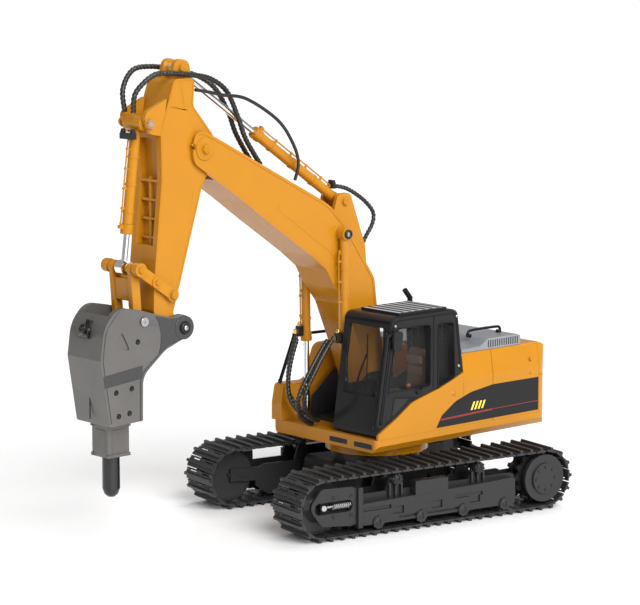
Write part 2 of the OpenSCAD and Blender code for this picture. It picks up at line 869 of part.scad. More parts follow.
module stick_shell(side) {
    half = stick_w / 2;
    horn = outline([[174, 340, 0], [176.5, 357, 6], [189, 360, 6], [194, 340, 0]]);
    ears = outline([[203, 331, 0], [224.5, 321, 6], [219, 306, 6], [207, 304, 0]]);
    color([0.93, 0.6, 0.13])
        boom_frame()
            mirror([0, side < 0 ? 1 : 0, 0]) {
                difference() {
                    slab(0.05, half)
                        polygon(outline(stick_outline));
                    slab(-1, half - wall)
                        polygon(outline(stick_hollow));
                    bar_y(boom_tip, pin_r + run_fit, -1, half + 1);
                    bar_y(rocker_pin, pin_r, -1, half + 1);
                    bar_y(hammer_pin, pin_r + run_fit, -1, half + 1);
                    slab(-1, 10)
                        polygon([[203.5, 302], [202, 270], [206.5, 224], [230, 224], [230, 302]]);
                }
                difference() {
                    slab(4.6, 8)
                        polygon(horn);
                    bar_y(arm_horn_pin, pin_r, 3, 10);
                }
                difference() {
                    slab(half - 4, half)
                        polygon(ears);
                    bar_y(bucket_pin, pin_r, half - 6, half + 2);
                }
            }
}

module stick_pins() {
    half = stick_w / 2;
    link_out = half + 4.2;
    color([0.75, 0.75, 0.77])
        boom_frame() {
            for (s = [-1, 1]) {
                bar_y(arm_horn_pin, pin_r - 0.02, s > 0 ? 4.4 : -9, s > 0 ? 9 : -4.4);
                bar_y(bucket_pin, 3.2, s > 0 ? half + 0.1 : -half - 2.6, s > 0 ? half + 2.6 : -half - 0.1);
                bar_y(rocker_pin, 3.2, s > 0 ? link_out + 0.2 : -link_out - 1.4,
                    s > 0 ? link_out + 1.4 : -link_out - 0.2);
            }
            bar_y(arm_horn_pin, 1, -8, 8);
            bar_y(bucket_pin, pin_r - 0.02, -half - 1, half + 1);
            bar_y(rocker_pin, pin_r - 0.02, -link_out - 1, link_out + 1);
        }
}

module bucket_barrel() {
    color([0.93, 0.6, 0.13])
        boom_frame()
            barrel(bucket_pin, cross_pin, barrel_r, 80, 0, 5.4, 20, pin_r);
}

module bucket_rod() {
    color([0.85, 0.86, 0.88])
        boom_frame()
            rod(bucket_pin, cross_pin, 30, 0, 5.4, 8, 2);
}

module rocker_links() {
    inner = stick_w / 2 + 0.4;
    outer = inner + 3.6;
    color([0.93, 0.6, 0.13])
        boom_frame()
            for (s = [-1, 1])
                difference() {
                    union() {
                        link_plate(rocker_pin, cross_pin, 5, s > 0 ? inner : -outer,
                            s > 0 ? outer : -inner);
                        bar_y(cross_pin, 3.4, s > 0 ? 5.5 : -inner - 1, s > 0 ? inner + 1 : -5.5);
                        bar_y(cross_pin, 5, s > 0 ? outer - 1 : -outer - 2, s > 0 ? outer + 2 : 1 - outer);
                    }
                    bar_y(rocker_pin, pin_r + run_fit, s > 0 ? inner - 1 : -outer - 1,
                        s > 0 ? outer + 1 : 1 - inner);
                }
}

module h_link() {
    color([0.93, 0.6, 0.13])
        boom_frame()
            for (s = [-1, 1]) {
                difference() {
                    link_plate(cross_pin, link_pin, 4.6, s > 0 ? 9 : -13, s > 0 ? 13 : -9);
                    bar_y(cross_pin, 3.4 + run_fit, -20, 20);
                }
                bar_y(along(cross_pin, link_pin, 22), 2.6, s > 0 ? -0.1 : -10, s > 0 ? 10 : 0.1);
            }
}

// ---------- hammer ----------

hammer_outline = [[253.4, 183.6, 14], [233, 179.6, 30], [205, 171.2, 10], [190, 173.5, 8],
    [183.4, 158, 8], [198, 152.6, 8], [210, 148, 16], [231, 131, 14], [231.6, 98, 1],
    [261.7, 96.8, 1], [269.4, 146, 2], [266, 170, 24]];
hammer_cavity = [[259, 190, 0], [259, 160, 4], [220, 152, 6], [206, 150, 0], [176, 150, 0], [176, 190, 0]];

module hammer_body() {
    half = hammer_w / 2;
    gap = stick_w / 2 + 0.4;
    color([0.27, 0.27, 0.28])
        boom_frame() {
            difference() {
                slab(-half, half)
                    polygon(outline(hammer_outline));
                slab(-gap, gap)
                    polygon(outline(hammer_cavity));
                bar_y(hammer_pin, pin_r, -half - 1, half + 1);
                translate([chisel_x, 0, 60])
                    cylinder(r = chisel_r + run_fit, h = 60);
                for (s = [-1, 1]) {
                    slab(s > 0 ? half - 1.2 : -half - 1, s > 0 ? half + 1 : -half + 1.2)
                        polygon(outline([[250.5, 167, 1.5], [242, 150, 1.5], [254.5, 154.5, 1.5]]));
                    for (p = [[235.6, 156.6], [241.5, 123], [255.6, 121.5], [243.8, 105], [253.5, 104]])
                        bar_y(p, 2.1, s > 0 ? half - 2 : -half - 1, s > 0 ? half + 1 : 2 - half);
                }
            }
            difference() {
                translate([chisel_x - 9.6, -9.6, 71.4])
                    cube([19.2, 19.2, 26]);
                translate([chisel_x, 0, 60])
                    cylinder(r = chisel_r + run_fit, h = 60);
            }
            bar_y(hammer_pin, pin_r - 0.02, -half - 1, half + 1);
            for (s = [-1, 1]) {
                bar_y(hammer_pin, 3.6, s > 0 ? half + 0.1 : -half - 1.6, s > 0 ? half + 1.6 : -half - 0.1);
                bar_y(link_pin, 2.6, s > 0 ? half - 0.5 : -half - 1.2, s > 0 ? half + 1.2 : 0.5 - half);
            }
            translate([264, -3, 163])
                rotate([0, 60, 0])
                    cylinder(r = 4, h = 8);
        }
}

module chisel() {
    length = 66;
    color([0.2, 0.2, 0.21])
        boom_frame()
            translate([chisel_x, 0, 40])
                rotate_extrude()
                    polygon([[0, 0], [3, 0.8], [5.2, 3], [chisel_r, 7], [chisel_r, length], [0, length]]);
}

// ---------- hoses ----------

// Point on a smooth curve through the list pts, at parameter t from 0 to len - 1.
function curve_at(pts, t) =
    let (
        n = len(pts),
        i = min(floor(t), n - 2),
        f = t - i,
        p0 = pts[max(i - 1, 0)],
        p1 = pts[i],
        p2 = pts[i + 1],
        p3 = pts[min(i + 2, n - 1)]
    )
    0.5 * (2 * p1 + (p2 - p0) * f + (2 * p0 - 5 * p1 + 4 * p2 - p3) * f * f
        + (3 * p1 - p0 - 3 * p2 + p3) * f * f * f);

// A tube swept along a smooth curve through pts.
module hose(pts, r, per_span = 4) {
    sides = 8;
    rings = (len(pts) - 1) * per_span;
    path = [for (k = [0 : rings]) curve_at(pts, k / per_span)];
    across = [0.1, 0.97, 0.2];
    points = [for (k = [0 : rings])
        let (
            t = unit(path[min(k + 1, rings)] - path[max(k - 1, 0)]),
            u = unit(cross(t, across)),
            v = cross(t, u)
        )
        for (j = [0 : sides - 1]) path[k] + r * (cos(j * 360 / sides) * u + sin(j * 360 / sides) * v)];
    skin = [for (k = [0 : rings - 1]) for (j = [0 : sides - 1])
        [k * sides + j, (k + 1) * sides + j, (k + 1) * sides + (j + 1) % sides,
            k * sides + (j + 1) % sides]];
    first = [for (j = [0 : sides - 1]) j];
    last = [for (j = [sides - 1 : -1 : 0]) rings * sides + j];
    polyhedron(points = points, faces = concat(skin, [first, last]));
}

stick_hose_near = [[226, 5, 321.4], [225, 7, 336], [212, 10.8, 348], [196, 10.8, 349], [176, 10.8, 347],
    [156, 8, 343], [140, 7, 333], [128, 5, 314], [120, 5, 296], [105, 4, 276.2]];
stick_hose_far = [[226, -5, 321.4], [226, -7, 338], [214, -10.8, 351], [197, -10.8, 353], [177, -10.8, 350],
    [157, -8, 345], [141, -6, 335], [129, -5.2, 317], [121, -5, 299], [107, -4, 277.2]];
stick_cable = [[174, 12, 336], [162, 12, 334], [148, 12, 331], [125, 12, 327], [95, 12, 310], [79, 11, 292],
    [72, 10, 276], [74, 8, 262]];
boom_hose = [[29, 0, 254.6], [16, 0, 252], [5, 0, 247], [-7, 0, 239], [-15, 0, 230], [-14, 0, 221],
    [-6, 0, 210],
    [-1, 0, 200]];
near_hose = [[47, 23, 140], [57, 24, 130], [70, 24, 112], [76, 22, 98], [72, 18, 86], [60, 12, 76],
    [48, 6, 72]];
far_hose = [[46, -22, 136], [52, -22, 120], [56, -21, 104], [56, -19, 90], [50, -14, 79], [44, -8, 73]];

module arm_hoses() {
    color([0.06, 0.06, 0.06])
        boom_frame() {
            hose(stick_hose_near, hose_r);
            hose(stick_hose_far, hose_r);
            hose(stick_cable, hose_r);
            hose(boom_hose, hose_r);
        }
}

module cylinder_hoses() {
    color([0.06, 0.06, 0.06])
        boom_frame()
            for (shift = [0, 4]) {
                hose([for (p = near_hose) p + [shift * 0.8, -shift, -shift * 0.6]], hose_r);
                hose([for (p = far_hose) p + [shift * 0.8, shift, -shift * 0.6]], hose_r);
            }
}

chassis_frame();
turntable_ring();
track_frame(1);  // track_frame_left
track_frame(-1);  // track_frame_right
side_cover(1);  // side_cover_left
side_cover(-1);  // side_cover_right
tensioner_springs();
track(1);  // track_left
track(-1);  // track_right
sprocket(1);  // sprocket_left
sprocket(-1);  // sprocket_right
idler(1);  // idler_left
idler(-1);  // idler_right
road_roller(1, 0);  // road_roller_left_1
road_roller(1, 1);  // road_roller_left_2
road_roller(1, 2);  // road_roller_left_3
road_roller(1, 3);  // road_roller_left_4
road_roller(-1, 0);  // road_roller_right_1
road_roller(-1, 1);  // road_roller_right_2
road_roller(-1, 2);  // road_roller_right_3
road_roller(-1, 3);  // road_roller_right_4
carrier_roller(1, 0);  // carrier_roller_left_1
carrier_roller(1, 1);  // carrier_roller_left_2
carrier_roller(-1, 0);  // carrier_roller_right_1
carrier_roller(-1, 1);  // carrier_roller_right_2
house_deck();
engine_cover();
counterweight();
cab_side_panel();
right_side_cover();
hood_grille();
exhaust_pipe();
handrails();
boom_bracket();
battery_pack();
control_board();
slew_motor();
power_switch();
cab_frame();
cab_windows();
cab_interior();
mirror_frame();  // mirror
boom_shell(1);  // boom_shell_left
boom_shell(-1);  // boom_shell_right
boom_pins();
boom_barrels();
boom_rods();
arm_barrel();
arm_rod();
stick_shell(1);  // stick_shell_left
stick_shell(-1);  // stick_shell_right
stick_pins();
bucket_barrel();
bucket_rod();
rocker_links();
h_link();
hammer_body();
chisel();
arm_hoses();
cylinder_hoses();
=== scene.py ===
import json
import math

import bmesh
import bpy
from mathutils import Matrix, Vector

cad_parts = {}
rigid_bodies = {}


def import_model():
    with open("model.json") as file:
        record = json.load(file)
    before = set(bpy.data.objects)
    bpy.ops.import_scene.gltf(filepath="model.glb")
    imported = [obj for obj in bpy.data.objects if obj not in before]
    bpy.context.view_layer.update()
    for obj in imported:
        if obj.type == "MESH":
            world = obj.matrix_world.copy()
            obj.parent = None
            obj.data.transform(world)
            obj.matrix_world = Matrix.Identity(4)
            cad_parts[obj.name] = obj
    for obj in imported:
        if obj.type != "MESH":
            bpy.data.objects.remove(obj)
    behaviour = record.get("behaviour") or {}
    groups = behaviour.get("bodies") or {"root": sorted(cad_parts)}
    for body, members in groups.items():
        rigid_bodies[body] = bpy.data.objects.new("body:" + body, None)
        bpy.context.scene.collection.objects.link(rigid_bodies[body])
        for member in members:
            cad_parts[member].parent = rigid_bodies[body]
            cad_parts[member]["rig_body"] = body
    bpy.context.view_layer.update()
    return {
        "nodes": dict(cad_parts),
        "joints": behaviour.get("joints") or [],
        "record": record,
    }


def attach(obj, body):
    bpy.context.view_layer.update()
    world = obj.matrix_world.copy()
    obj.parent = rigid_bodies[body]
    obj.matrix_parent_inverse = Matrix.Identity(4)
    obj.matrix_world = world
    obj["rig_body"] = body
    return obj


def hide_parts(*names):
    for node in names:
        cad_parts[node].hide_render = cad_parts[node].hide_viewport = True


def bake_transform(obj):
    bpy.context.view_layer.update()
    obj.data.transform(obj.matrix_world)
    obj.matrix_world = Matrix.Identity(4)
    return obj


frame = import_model()
joints = {joint["name"]: joint for joint in frame["joints"]}
slots = {part["node"]: part["material_slot"] for part in frame["record"]["subparts"]}

# Shapes are drawn in millimetres, in one of three places taken from the joints:
# BASE has its origin under the slew axis, HOUSE turns with the upper works,
# and BOOM lies in the boom's middle plane.
MM = 0.001
slew_x = joints["slew"]["pos_m"][0]
lift_axis = joints["boom_lift"]["axis"]
slew = math.atan2(lift_axis[0], -lift_axis[1])
BASE = Matrix.Translation((slew_x, 0, 0)) @ Matrix.Scale(MM, 4)
HOUSE = Matrix.Translation((slew_x, 0, 0)) @ Matrix.Rotation(slew, 4, "Z") @ Matrix.Scale(MM, 4)
boom_y = (HOUSE.inverted() @ Vector(joints["boom_lift"]["pos_m"])).y
BOOM = HOUSE @ Matrix.Translation((0, boom_y, 0))


def pivot(joint):
    """Where a joint's axis crosses the boom's middle plane, as (x, z) in BOOM."""
    at = BOOM.inverted() @ Vector(joints[joint]["pos_m"])
    return Vector((at.x, at.z))


BOOM_TIP = pivot("stick_swing")
BOOM_TOP_PIN = pivot("boom_cylinder_swing")
ARM_REAR_PIN = pivot("arm_cylinder_swing")
BUCKET_PIN = pivot("bucket_cylinder_swing")
ROCKER_PIN = pivot("rocker_swing")
CROSS_PIN = pivot("link_swing")
HAMMER_PIN = pivot("hammer_tilt")


# ---------- camera, light and floor ----------

def aim(thing, target):
    direction = Vector(target) - thing.location
    thing.rotation_euler = direction.to_track_quat("-Z", "Y").to_euler()


def make_camera():
    data = bpy.data.cameras.new("camera")
    data.sensor_width = 36
    data.lens = 146.2
    data.clip_end = 20
    camera = bpy.data.objects.new("camera", data)
    bpy.context.scene.collection.objects.link(camera)
    camera.location = (slew_x + 1.11275, 1.67883, 0.46697)
    yaw = math.radians(237.734)
    pitch = math.radians(-8.611)
    look = Vector((math.cos(yaw) * math.cos(pitch), math.sin(yaw) * math.cos(pitch), math.sin(pitch)))
    aim(camera, camera.location + look)
    bpy.context.scene.camera = camera


def sun(name, direction, strength, spread):
    """A soft light that shines from a direction."""
    data = bpy.data.lights.new(name, "SUN")
    data.energy = strength
    data.angle = math.radians(spread)
    light = bpy.data.objects.new(name, data)
    bpy.context.scene.collection.objects.link(light)
    light.location = direction
    aim(light, (0, 0, 0))


def make_studio():
    world = bpy.data.worlds.new("studio")
    world.use_nodes = True
    background = world.node_tree.nodes["Background"]
    background.inputs["Color"].default_value = (1, 1, 1, 1)
    background.inputs["Strength"].default_value = 0.36
    bpy.context.scene.world = world
    bpy.context.scene.view_settings.view_transform = "Standard"
    sun("key", (0.02, 1, 0.66), 4.1, 50)
    sun("top", (-0.5, -0.2, 1), 1.0, 40)
    mesh = bpy.data.meshes.new("floor")
    reach = 40
    mesh.from_pydata([(-reach, -reach, 0), (reach, -reach, 0), (reach, reach, 0), (-reach, reach, 0)],
                     [], [(0, 1, 2, 3)])
    floor = bpy.data.objects.new("floor", mesh)
    bpy.context.scene.collection.objects.link(floor)
    mesh.materials.append(moulded("floor_white", (0.92, 0.92, 0.92), 0.5, mottling=0, grain=0))


# ---------- materials ----------

def new_material(name):
    material = bpy.data.materials.new(name)
    material.use_nodes = True
    tree = material.node_tree
    return material, tree, tree.nodes["Principled BSDF"]


def noise_texture(tree, scale, detail=2.0):
    coords = tree.nodes.new("ShaderNodeTexCoord")
    texture = tree.nodes.new("ShaderNodeTexNoise")
    texture.inputs["Scale"].default_value = scale
    texture.inputs["Detail"].default_value = detail
    tree.links.new(coords.outputs["Object"], texture.inputs["Vector"])
    return texture


def spread(tree, source, low, high):
    """Map a noise, which stays between about 0.3 and 0.7, to the range from low to high."""
    ramp = tree.nodes.new("ShaderNodeMapRange")
    ramp.inputs["From Min"].default_value = 0.3
    ramp.inputs["From Max"].default_value = 0.7
    ramp.inputs["To Min"].default_value = low
    ramp.inputs["To Max"].default_value = high
    tree.links.new(source, ramp.inputs["Value"])
    return ramp.outputs["Result"]


def moulded(name, colour, rough, mottling=0.06, grain=0.25, grain_scale=1400, coat=0.0, metallic=0.0,
            wear=0.0, specular=0.5):
    """Moulded plastic, or satin metal: mottled colour, uneven gloss, fine grain and paler edges."""
    material, tree, shader = new_material(name)
    shade = spread(tree, noise_texture(tree, 45).outputs["Fac"], 1 - mottling, 1 + mottling)
    tint = tree.nodes.new("ShaderNodeVectorMath")
    tint.operation = "SCALE"
    tint.inputs[0].default_value = colour
    tree.links.new(shade, tint.inputs["Scale"])
    colour_out = tint.outputs[0]
    if wear:
        geometry = tree.nodes.new("ShaderNodeNewGeometry")
        edge = tree.nodes.new("ShaderNodeMapRange")
        edge.inputs["From Min"].default_value = 0.5
        edge.inputs["From Max"].default_value = 0.6
        edge.inputs["To Max"].default_value = wear
        tree.links.new(geometry.outputs["Pointiness"], edge.inputs["Value"])
        pale = tree.nodes.new("ShaderNodeMix")
        pale.data_type = "RGBA"
        tree.links.new(edge.outputs["Result"], pale.inputs["Factor"])
        tree.links.new(colour_out, pale.inputs["A"])
        pale.inputs["B"].default_value = [min(1, c * 1.3 + 0.04) for c in colour] + [1]
        colour_out = pale.outputs["Result"]
    tree.links.new(colour_out, shader.inputs["Base Color"])
    gloss = spread(tree, noise_texture(tree, 160, 4).outputs["Fac"], rough * 0.82, rough * 1.2)
    tree.links.new(gloss, shader.inputs["Roughness"])
    shader.inputs["Metallic"].default_value = metallic
    shader.inputs["Specular IOR Level"].default_value = specular
    shader.inputs["Coat Weight"].default_value = coat
    shader.inputs["Coat Roughness"].default_value = 0.12
    if grain:
        bump = tree.nodes.new("ShaderNodeBump")
        bump.inputs["Strength"].default_value = grain
        bump.inputs["Distance"].default_value = 0.00006
        tree.links.new(noise_texture(tree, grain_scale, 3).outputs["Fac"], bump.inputs["Height"])
        tree.links.new(bump.outputs["Normal"], shader.inputs["Normal"])
    return material


def tinted_glass():
    material, tree, shader = new_material("window_tint")
    haze = spread(tree, noise_texture(tree, 120, 4).outputs["Fac"], 0.02, 0.07)
    tree.links.new(haze, shader.inputs["Roughness"])
    shade = spread(tree, noise_texture(tree, 30).outputs["Fac"], 0.9, 1.0)
    tint = tree.nodes.new("ShaderNodeVectorMath")
    tint.operation = "SCALE"
    tint.inputs[0].default_value = (0.1, 0.1, 0.1)
    tree.links.new(shade, tint.inputs["Scale"])
    tree.links.new(tint.outputs[0], shader.inputs["Base Color"])
    shader.inputs["Alpha"].default_value = 0.08
    shader.inputs["IOR"].default_value = 1.49
    return material


def make_materials():
    return {
        "yellow_plastic": moulded("yellow_plastic", (0.43, 0.172, 0.002), 0.2, mottling=0.03, grain=0.1,
                                  wear=0.2, specular=0.26),
        "track_black": moulded("track_black", (0.01, 0.01, 0.011), 0.32, mottling=0.25, grain=0.5,
                               wear=0.5, specular=0.3),
        "frame_black": moulded("frame_black", (0.007, 0.007, 0.008), 0.36, mottling=0.2, grain=0.4, wear=0.3,
                               specular=0.25),
        "cover_black": moulded("cover_black", (0.007, 0.007, 0.008), 0.17, mottling=0.15, grain=0.3,
                               wear=0.45, specular=0.28),
        "cab_black": moulded("cab_black", (0.005, 0.005, 0.006), 0.14, mottling=0.15, grain=0.15,
                             wear=0.3, specular=0.14),
        "grille_grey": moulded("grille_grey", (0.24, 0.25, 0.265), 0.36, grain=0.5, metallic=0.4, wear=0.3),
        "hammer_grey": moulded("hammer_grey", (0.12, 0.114, 0.107), 0.34, mottling=0.1, grain=0.9,
                               grain_scale=2200, metallic=0.5, wear=0.3),
        "chrome": moulded("chrome", (0.82, 0.83, 0.85), 0.1, mottling=0.02, grain=0.03, metallic=1.0),
        "pin_steel": moulded("pin_steel", (0.5, 0.5, 0.52), 0.3, grain=0.3, metallic=1.0),
        "window_clear": tinted_glass(),
        "interior_brown": moulded("interior_brown", (0.15, 0.072, 0.034), 0.45, mottling=0.2, grain=0.6,
                                  grain_scale=900),
        "hose_black": moulded("hose_black", (0.014, 0.012, 0.011), 0.34, mottling=0.2, grain=0.5),
        "battery_blue": moulded("battery_blue", (0.02, 0.08, 0.3), 0.4),
        "board_green": moulded("board_green", (0.01, 0.14, 0.04), 0.4),
        "motor_steel": moulded("motor_steel", (0.45, 0.45, 0.47), 0.3, metallic=1.0),
    }


# ---------- mesh helpers ----------

def add_piece(name, bm, place, body, slot, bevel=0.0, smooth=True, material=None):
    """Turn a bmesh drawn in place into a piece of the model that rides on a body."""
    bmesh.ops.transform(bm, matrix=place, verts=bm.verts)
    bmesh.ops.recalc_face_normals(bm, faces=bm.faces)
    mesh = bpy.data.meshes.new(name)
    bm.to_mesh(mesh)
    bm.free()
    piece = bpy.data.objects.new(name, mesh)
    bpy.context.scene.collection.objects.link(piece)
    mesh.materials.append(material or MATERIALS[slot])
    soften(piece, bevel * MM, smooth)
    if body:
        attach(piece, body)
    return piece


def soften(piece, width, smooth=True, angle=32):
    """Round a piece's sharp edges, and shade it smooth between them."""
    if width:
        bevel = piece.modifiers.new("bevel", "BEVEL")
        bevel.width = width
        bevel.segments = 2
        bevel.limit_method = "ANGLE"
        bevel.angle_limit = math.radians(angle)
        bevel.use_clamp_overlap = True
        bevel.harden_normals = False
    if smooth:
        mesh = piece.data
        mesh.shade_smooth()
        mesh.set_sharp_from_angle(angle=math.radians(angle + 8))
        if width:
            for edge in mesh.edges:
                edge.use_edge_sharp = False
            normals = piece.modifiers.new("normals", "WEIGHTED_NORMAL")
            normals.keep_sharp = False


def prism(bm, corners, y0, y1):
    """A closed outline of (x, z) corners, as thick as the span from y0 to y1."""
    near = [bm.verts.new((x, y0, z)) for x, z in corners]
    far = [bm.verts.new((x, y1, z)) for x, z in corners]
    bm.faces.new(near)
    bm.faces.new(far[::-1])
    for i in range(len(corners)):
        j = (i + 1) % len(corners)
        bm.faces.new((near[j], near[i], far[i], far[j]))


def block(bm, low, high):
    prism(bm, [(low[0], low[2]), (high[0], low[2]), (high[0], high[2]), (low[0], high[2])], low[1], high[1])


def lathe(bm, a, b, profile, sides=32):
    """Turn a profile of (distance from a, radius) about the line from a to b."""
    a, b = Vector(a), Vector(b)
    axis = (b - a).normalized()
    side = axis.orthogonal().normalized()
    up = axis.cross(side)
    rings = []
    for distance, radius in profile:
        centre = a + axis * distance
        if radius < 1e-6:
            rings.append([bm.verts.new(centre)])
            continue
        rings.append([bm.verts.new(centre + radius * (math.cos(t) * side + math.sin(t) * up))
                      for t in (2 * math.pi * k / sides for k in range(sides))])
    for lower, upper in zip(rings, rings[1:]):
        for k in range(sides):
            m = (k + 1) % sides
            corners = [lower[k % len(lower)], lower[m % len(lower)], upper[m % len(upper)],
                       upper[k % len(upper)]]
            unique = list(dict.fromkeys(corners))
            if len(unique) > 2:
                bm.faces.new(unique)
    for ring in (rings[0], rings[-1]):
        if len(ring) > 2:
            bm.faces.new(ring)


def rod_y(bm, at, radius, y0, y1, sides=32):
    """A bar along Y with slightly broken edges, centred on at = (x, z)."""
    edge = min(0.25, radius * 0.2, abs(y1 - y0) * 0.3)
    length = abs(y1 - y0)
    lathe(bm, (at[0], y0, at[1]), (at[0], y1, at[1]),
          [(0, radius - edge), (edge, radius), (length - edge, radius), (length, radius - edge)], sides)


def hexagon(bm, at, radius, y0, y1):
    """A hex bolt head about Y, with a round washer face and a dimple."""
    s = 1 if y1 > y0 else -1
    height = abs(y1 - y0)
    rod_y(bm, at, radius * 1.12, y0, y0 + s * height * 0.25)
    lathe(bm, (at[0], y0 + s * height * 0.2, at[1]), (at[0], y1 + s, at[1]),
          [(0, radius), (height * 0.6, radius), (height * 0.8, radius * 0.86),
           (height * 0.66, radius * 0.45), (height * 0.66, 0)], 6)


def screw(bm, at, radius, y, s):
    """A cross-head screw whose top faces s along Y."""
    rod_y(bm, at, radius, y, y + s * 0.7)
    for dx, dz in ((0.75, 0.2), (0.2, 0.75)):
        block(bm, (at[0] - radius * dx, min(y, y + s * 0.8), at[1] - radius * dz),
              (at[0] + radius * dx, max(y, y + s * 0.8), at[1] + radius * dz))


def tube(bm, path, radius, sides=12, wave=0.0, wave_length=1.0):
    """A tube along a list of points. With a wave, a helical ridge runs round it."""
    rings = []
    travelled = 0
    across = Vector((0.1, 0.97, 0.2)).normalized()
    for k, point in enumerate(path):
        ahead = path[min(k + 1, len(path) - 1)] - path[max(k - 1, 0)]
        tangent = ahead.normalized()
        u = tangent.cross(across).normalized()
        v = tangent.cross(u)
        if k:
            travelled += (path[k] - path[k - 1]).length
        ring = []
        for j in range(sides):
            turn = 2 * math.pi * j / sides
            phase = turn + 2 * math.pi * travelled / wave_length
            r = radius - wave + wave * abs(math.sin(phase / 2)) ** 0.7 if wave else radius
            ring.append(bm.verts.new(point + r * (math.cos(turn) * u + math.sin(turn) * v)))
        rings.append(ring)
    for lower, upper in zip(rings, rings[1:]):
        for j in range(sides):
            m = (j + 1) % sides
            bm.faces.new((lower[j], lower[m], upper[m], upper[j]))
    bm.faces.new(rings[0])
    bm.faces.new(rings[-1])


def smooth_path(points, step):
    """Points every step along a smooth curve through the given ones."""
    points = [Vector(p) for p in points]
    fine = []
    per_span = 24
    for i in range(len(points) - 1):
        p0, p1, p2 = points[max(i - 1, 0)], points[i], points[i + 1]
        p3 = points[min(i + 2, len(points) - 1)]
        for k in range(per_span):
            f = k / per_span
            fine.append(0.5 * (2 * p1 + (p2 - p0) * f + (2 * p0 - 5 * p1 + 4 * p2 - p3) * f ** 2
                               + (3 * p1 - p0 - 3 * p2 + p3) * f ** 3))
    fine.append(points[-1])
    path = [fine[0]]
    for point in fine[1:]:
        if (point - path[-1]).length >= step:
            path.append(point)
    return path


def cad_copy(node, width, material=None):
    """A copy of a CAD node with its edges rounded, which stands for the node."""
    source = frame["nodes"][node]
    bm = bmesh.new()
    bm.from_mesh(source.data)
    bmesh.ops.remove_doubles(bm, verts=bm.verts, dist=2e-6)
    bmesh.ops.dissolve_limit(bm, angle_limit=math.radians(0.6), verts=bm.verts, edges=bm.edges)
    piece = add_piece(node + "_skin", bm, Matrix.Identity(4), source["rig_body"], slots[node], bevel=width,
                      material=material)
    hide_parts(node)
    return piece


# ---------- undercarriage ----------

LINKS = 56
TEETH = 14
TRACK_Y = joints["sprocket_left_spin"]["pos_m"][1] / MM


def base_point(joint):
    at = BASE.inverted() @ Vector(joints[joint]["pos_m"])
    return at.x, at.z


IDLER = base_point("idler_left_spin")
SPROCKET = base_point("sprocket_left_spin")
WHEELBASE = IDLER[0] - SPROCKET[0]
LINK_PITCH = 2 * WHEELBASE / (LINKS - TEETH)
PITCH_R = TEETH * LINK_PITCH / (2 * math.pi)
ROAD = [base_point(f"road_roller_left_{k}_spin") for k in (1, 2, 3, 4)]
CARRIER = [base_point(f"carrier_roller_left_{k}_spin") for k in (1, 2)]


def round_edges(bm, width, segments=2, angle=30):
    limit = math.radians(angle)
    edges = [e for e in bm.edges if len(e.link_faces) == 2 and e.calc_face_angle() > limit]
    bmesh.ops.bevel(bm, geom=edges, offset=width, segments=segments, affect="EDGES", clamp_overlap=True)


def shoe():
    """One track shoe with its grouser, lip tabs, hinge knuckle and guide horn. Outwards is -Z."""
    bm = bmesh.new()
    half = LINK_PITCH / 2
    prism(bm, [(-half + 0.4, 0.6), (-half + 0.4, -0.9), (-1.6, -1), (-1.25, -3.15), (0.75, -3.15), (1.2, -1),
               (2.0, -0.9), (2.3, -0.8), (2.3, 0.6)], -19.9, 19.9)
    for low, high in ((-19.6, -15.4), (-4.6, 4.6), (15.4, 19.6)):
        block(bm, (2.0, low, -0.6), (half - 0.4, high, 0.5))
    for low, high in ((-14.8, -5.6), (5.6, 14.8)):
        block(bm, (-0.85, low, -3.19), (0.4, high, -2.9))
    round_edges(bm, 0.18)
    prism(bm, [(-1.5, 0.5), (1.5, 0.5), (0.9, 2.15), (-0.9, 2.15)], -1.45, 1.45)
    for y in (-14.9, 5.8):
        rod_y(bm, (half - 0.9, 0), 0.75, y, y + 9.1, 8)
    mesh = bpy.data.meshes.new("shoe")
    bm.to_mesh(mesh)
    bm.free()
    return mesh


def loop_place(distance):
    """Where a shoe sits on the track loop, from under the sprocket forwards."""
    arc = math.pi * PITCH_R
    z = SPROCKET[1]
    if distance < WHEELBASE:
        return SPROCKET[0] + distance, z - PITCH_R, 0
    if distance < WHEELBASE + arc:
        turn = (distance - WHEELBASE) / PITCH_R
        return IDLER[0] + PITCH_R * math.sin(turn), z - PITCH_R * math.cos(turn), turn
    if distance < 2 * WHEELBASE + arc:
        return IDLER[0] - (distance - WHEELBASE - arc), z + PITCH_R, math.pi
    turn = math.pi + (distance - 2 * WHEELBASE - arc) / PITCH_R
    return SPROCKET[0] + PITCH_R * math.sin(turn), z - PITCH_R * math.cos(turn), turn


def make_track(side, sign):
    bm = bmesh.new()
    link = shoe()
    for k in range(LINKS):
        x, z, turn = loop_place((k + 0.5) * LINK_PITCH)
        place = Matrix.Translation((x, sign * TRACK_Y, z)) @ Matrix.Rotation(-turn, 4, "Y")
        piece = bmesh.new()
        piece.from_mesh(link)
        bmesh.ops.transform(piece, matrix=place, verts=piece.verts)
        placed = bpy.data.meshes.new("placed")
        piece.to_mesh(placed)
        piece.free()
        bm.from_mesh(placed)
        bpy.data.meshes.remove(placed)
    shoes = add_piece(f"track_shoes_{side}", bm, BASE, "undercarriage", "track_black")
    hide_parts(f"track_{side}")


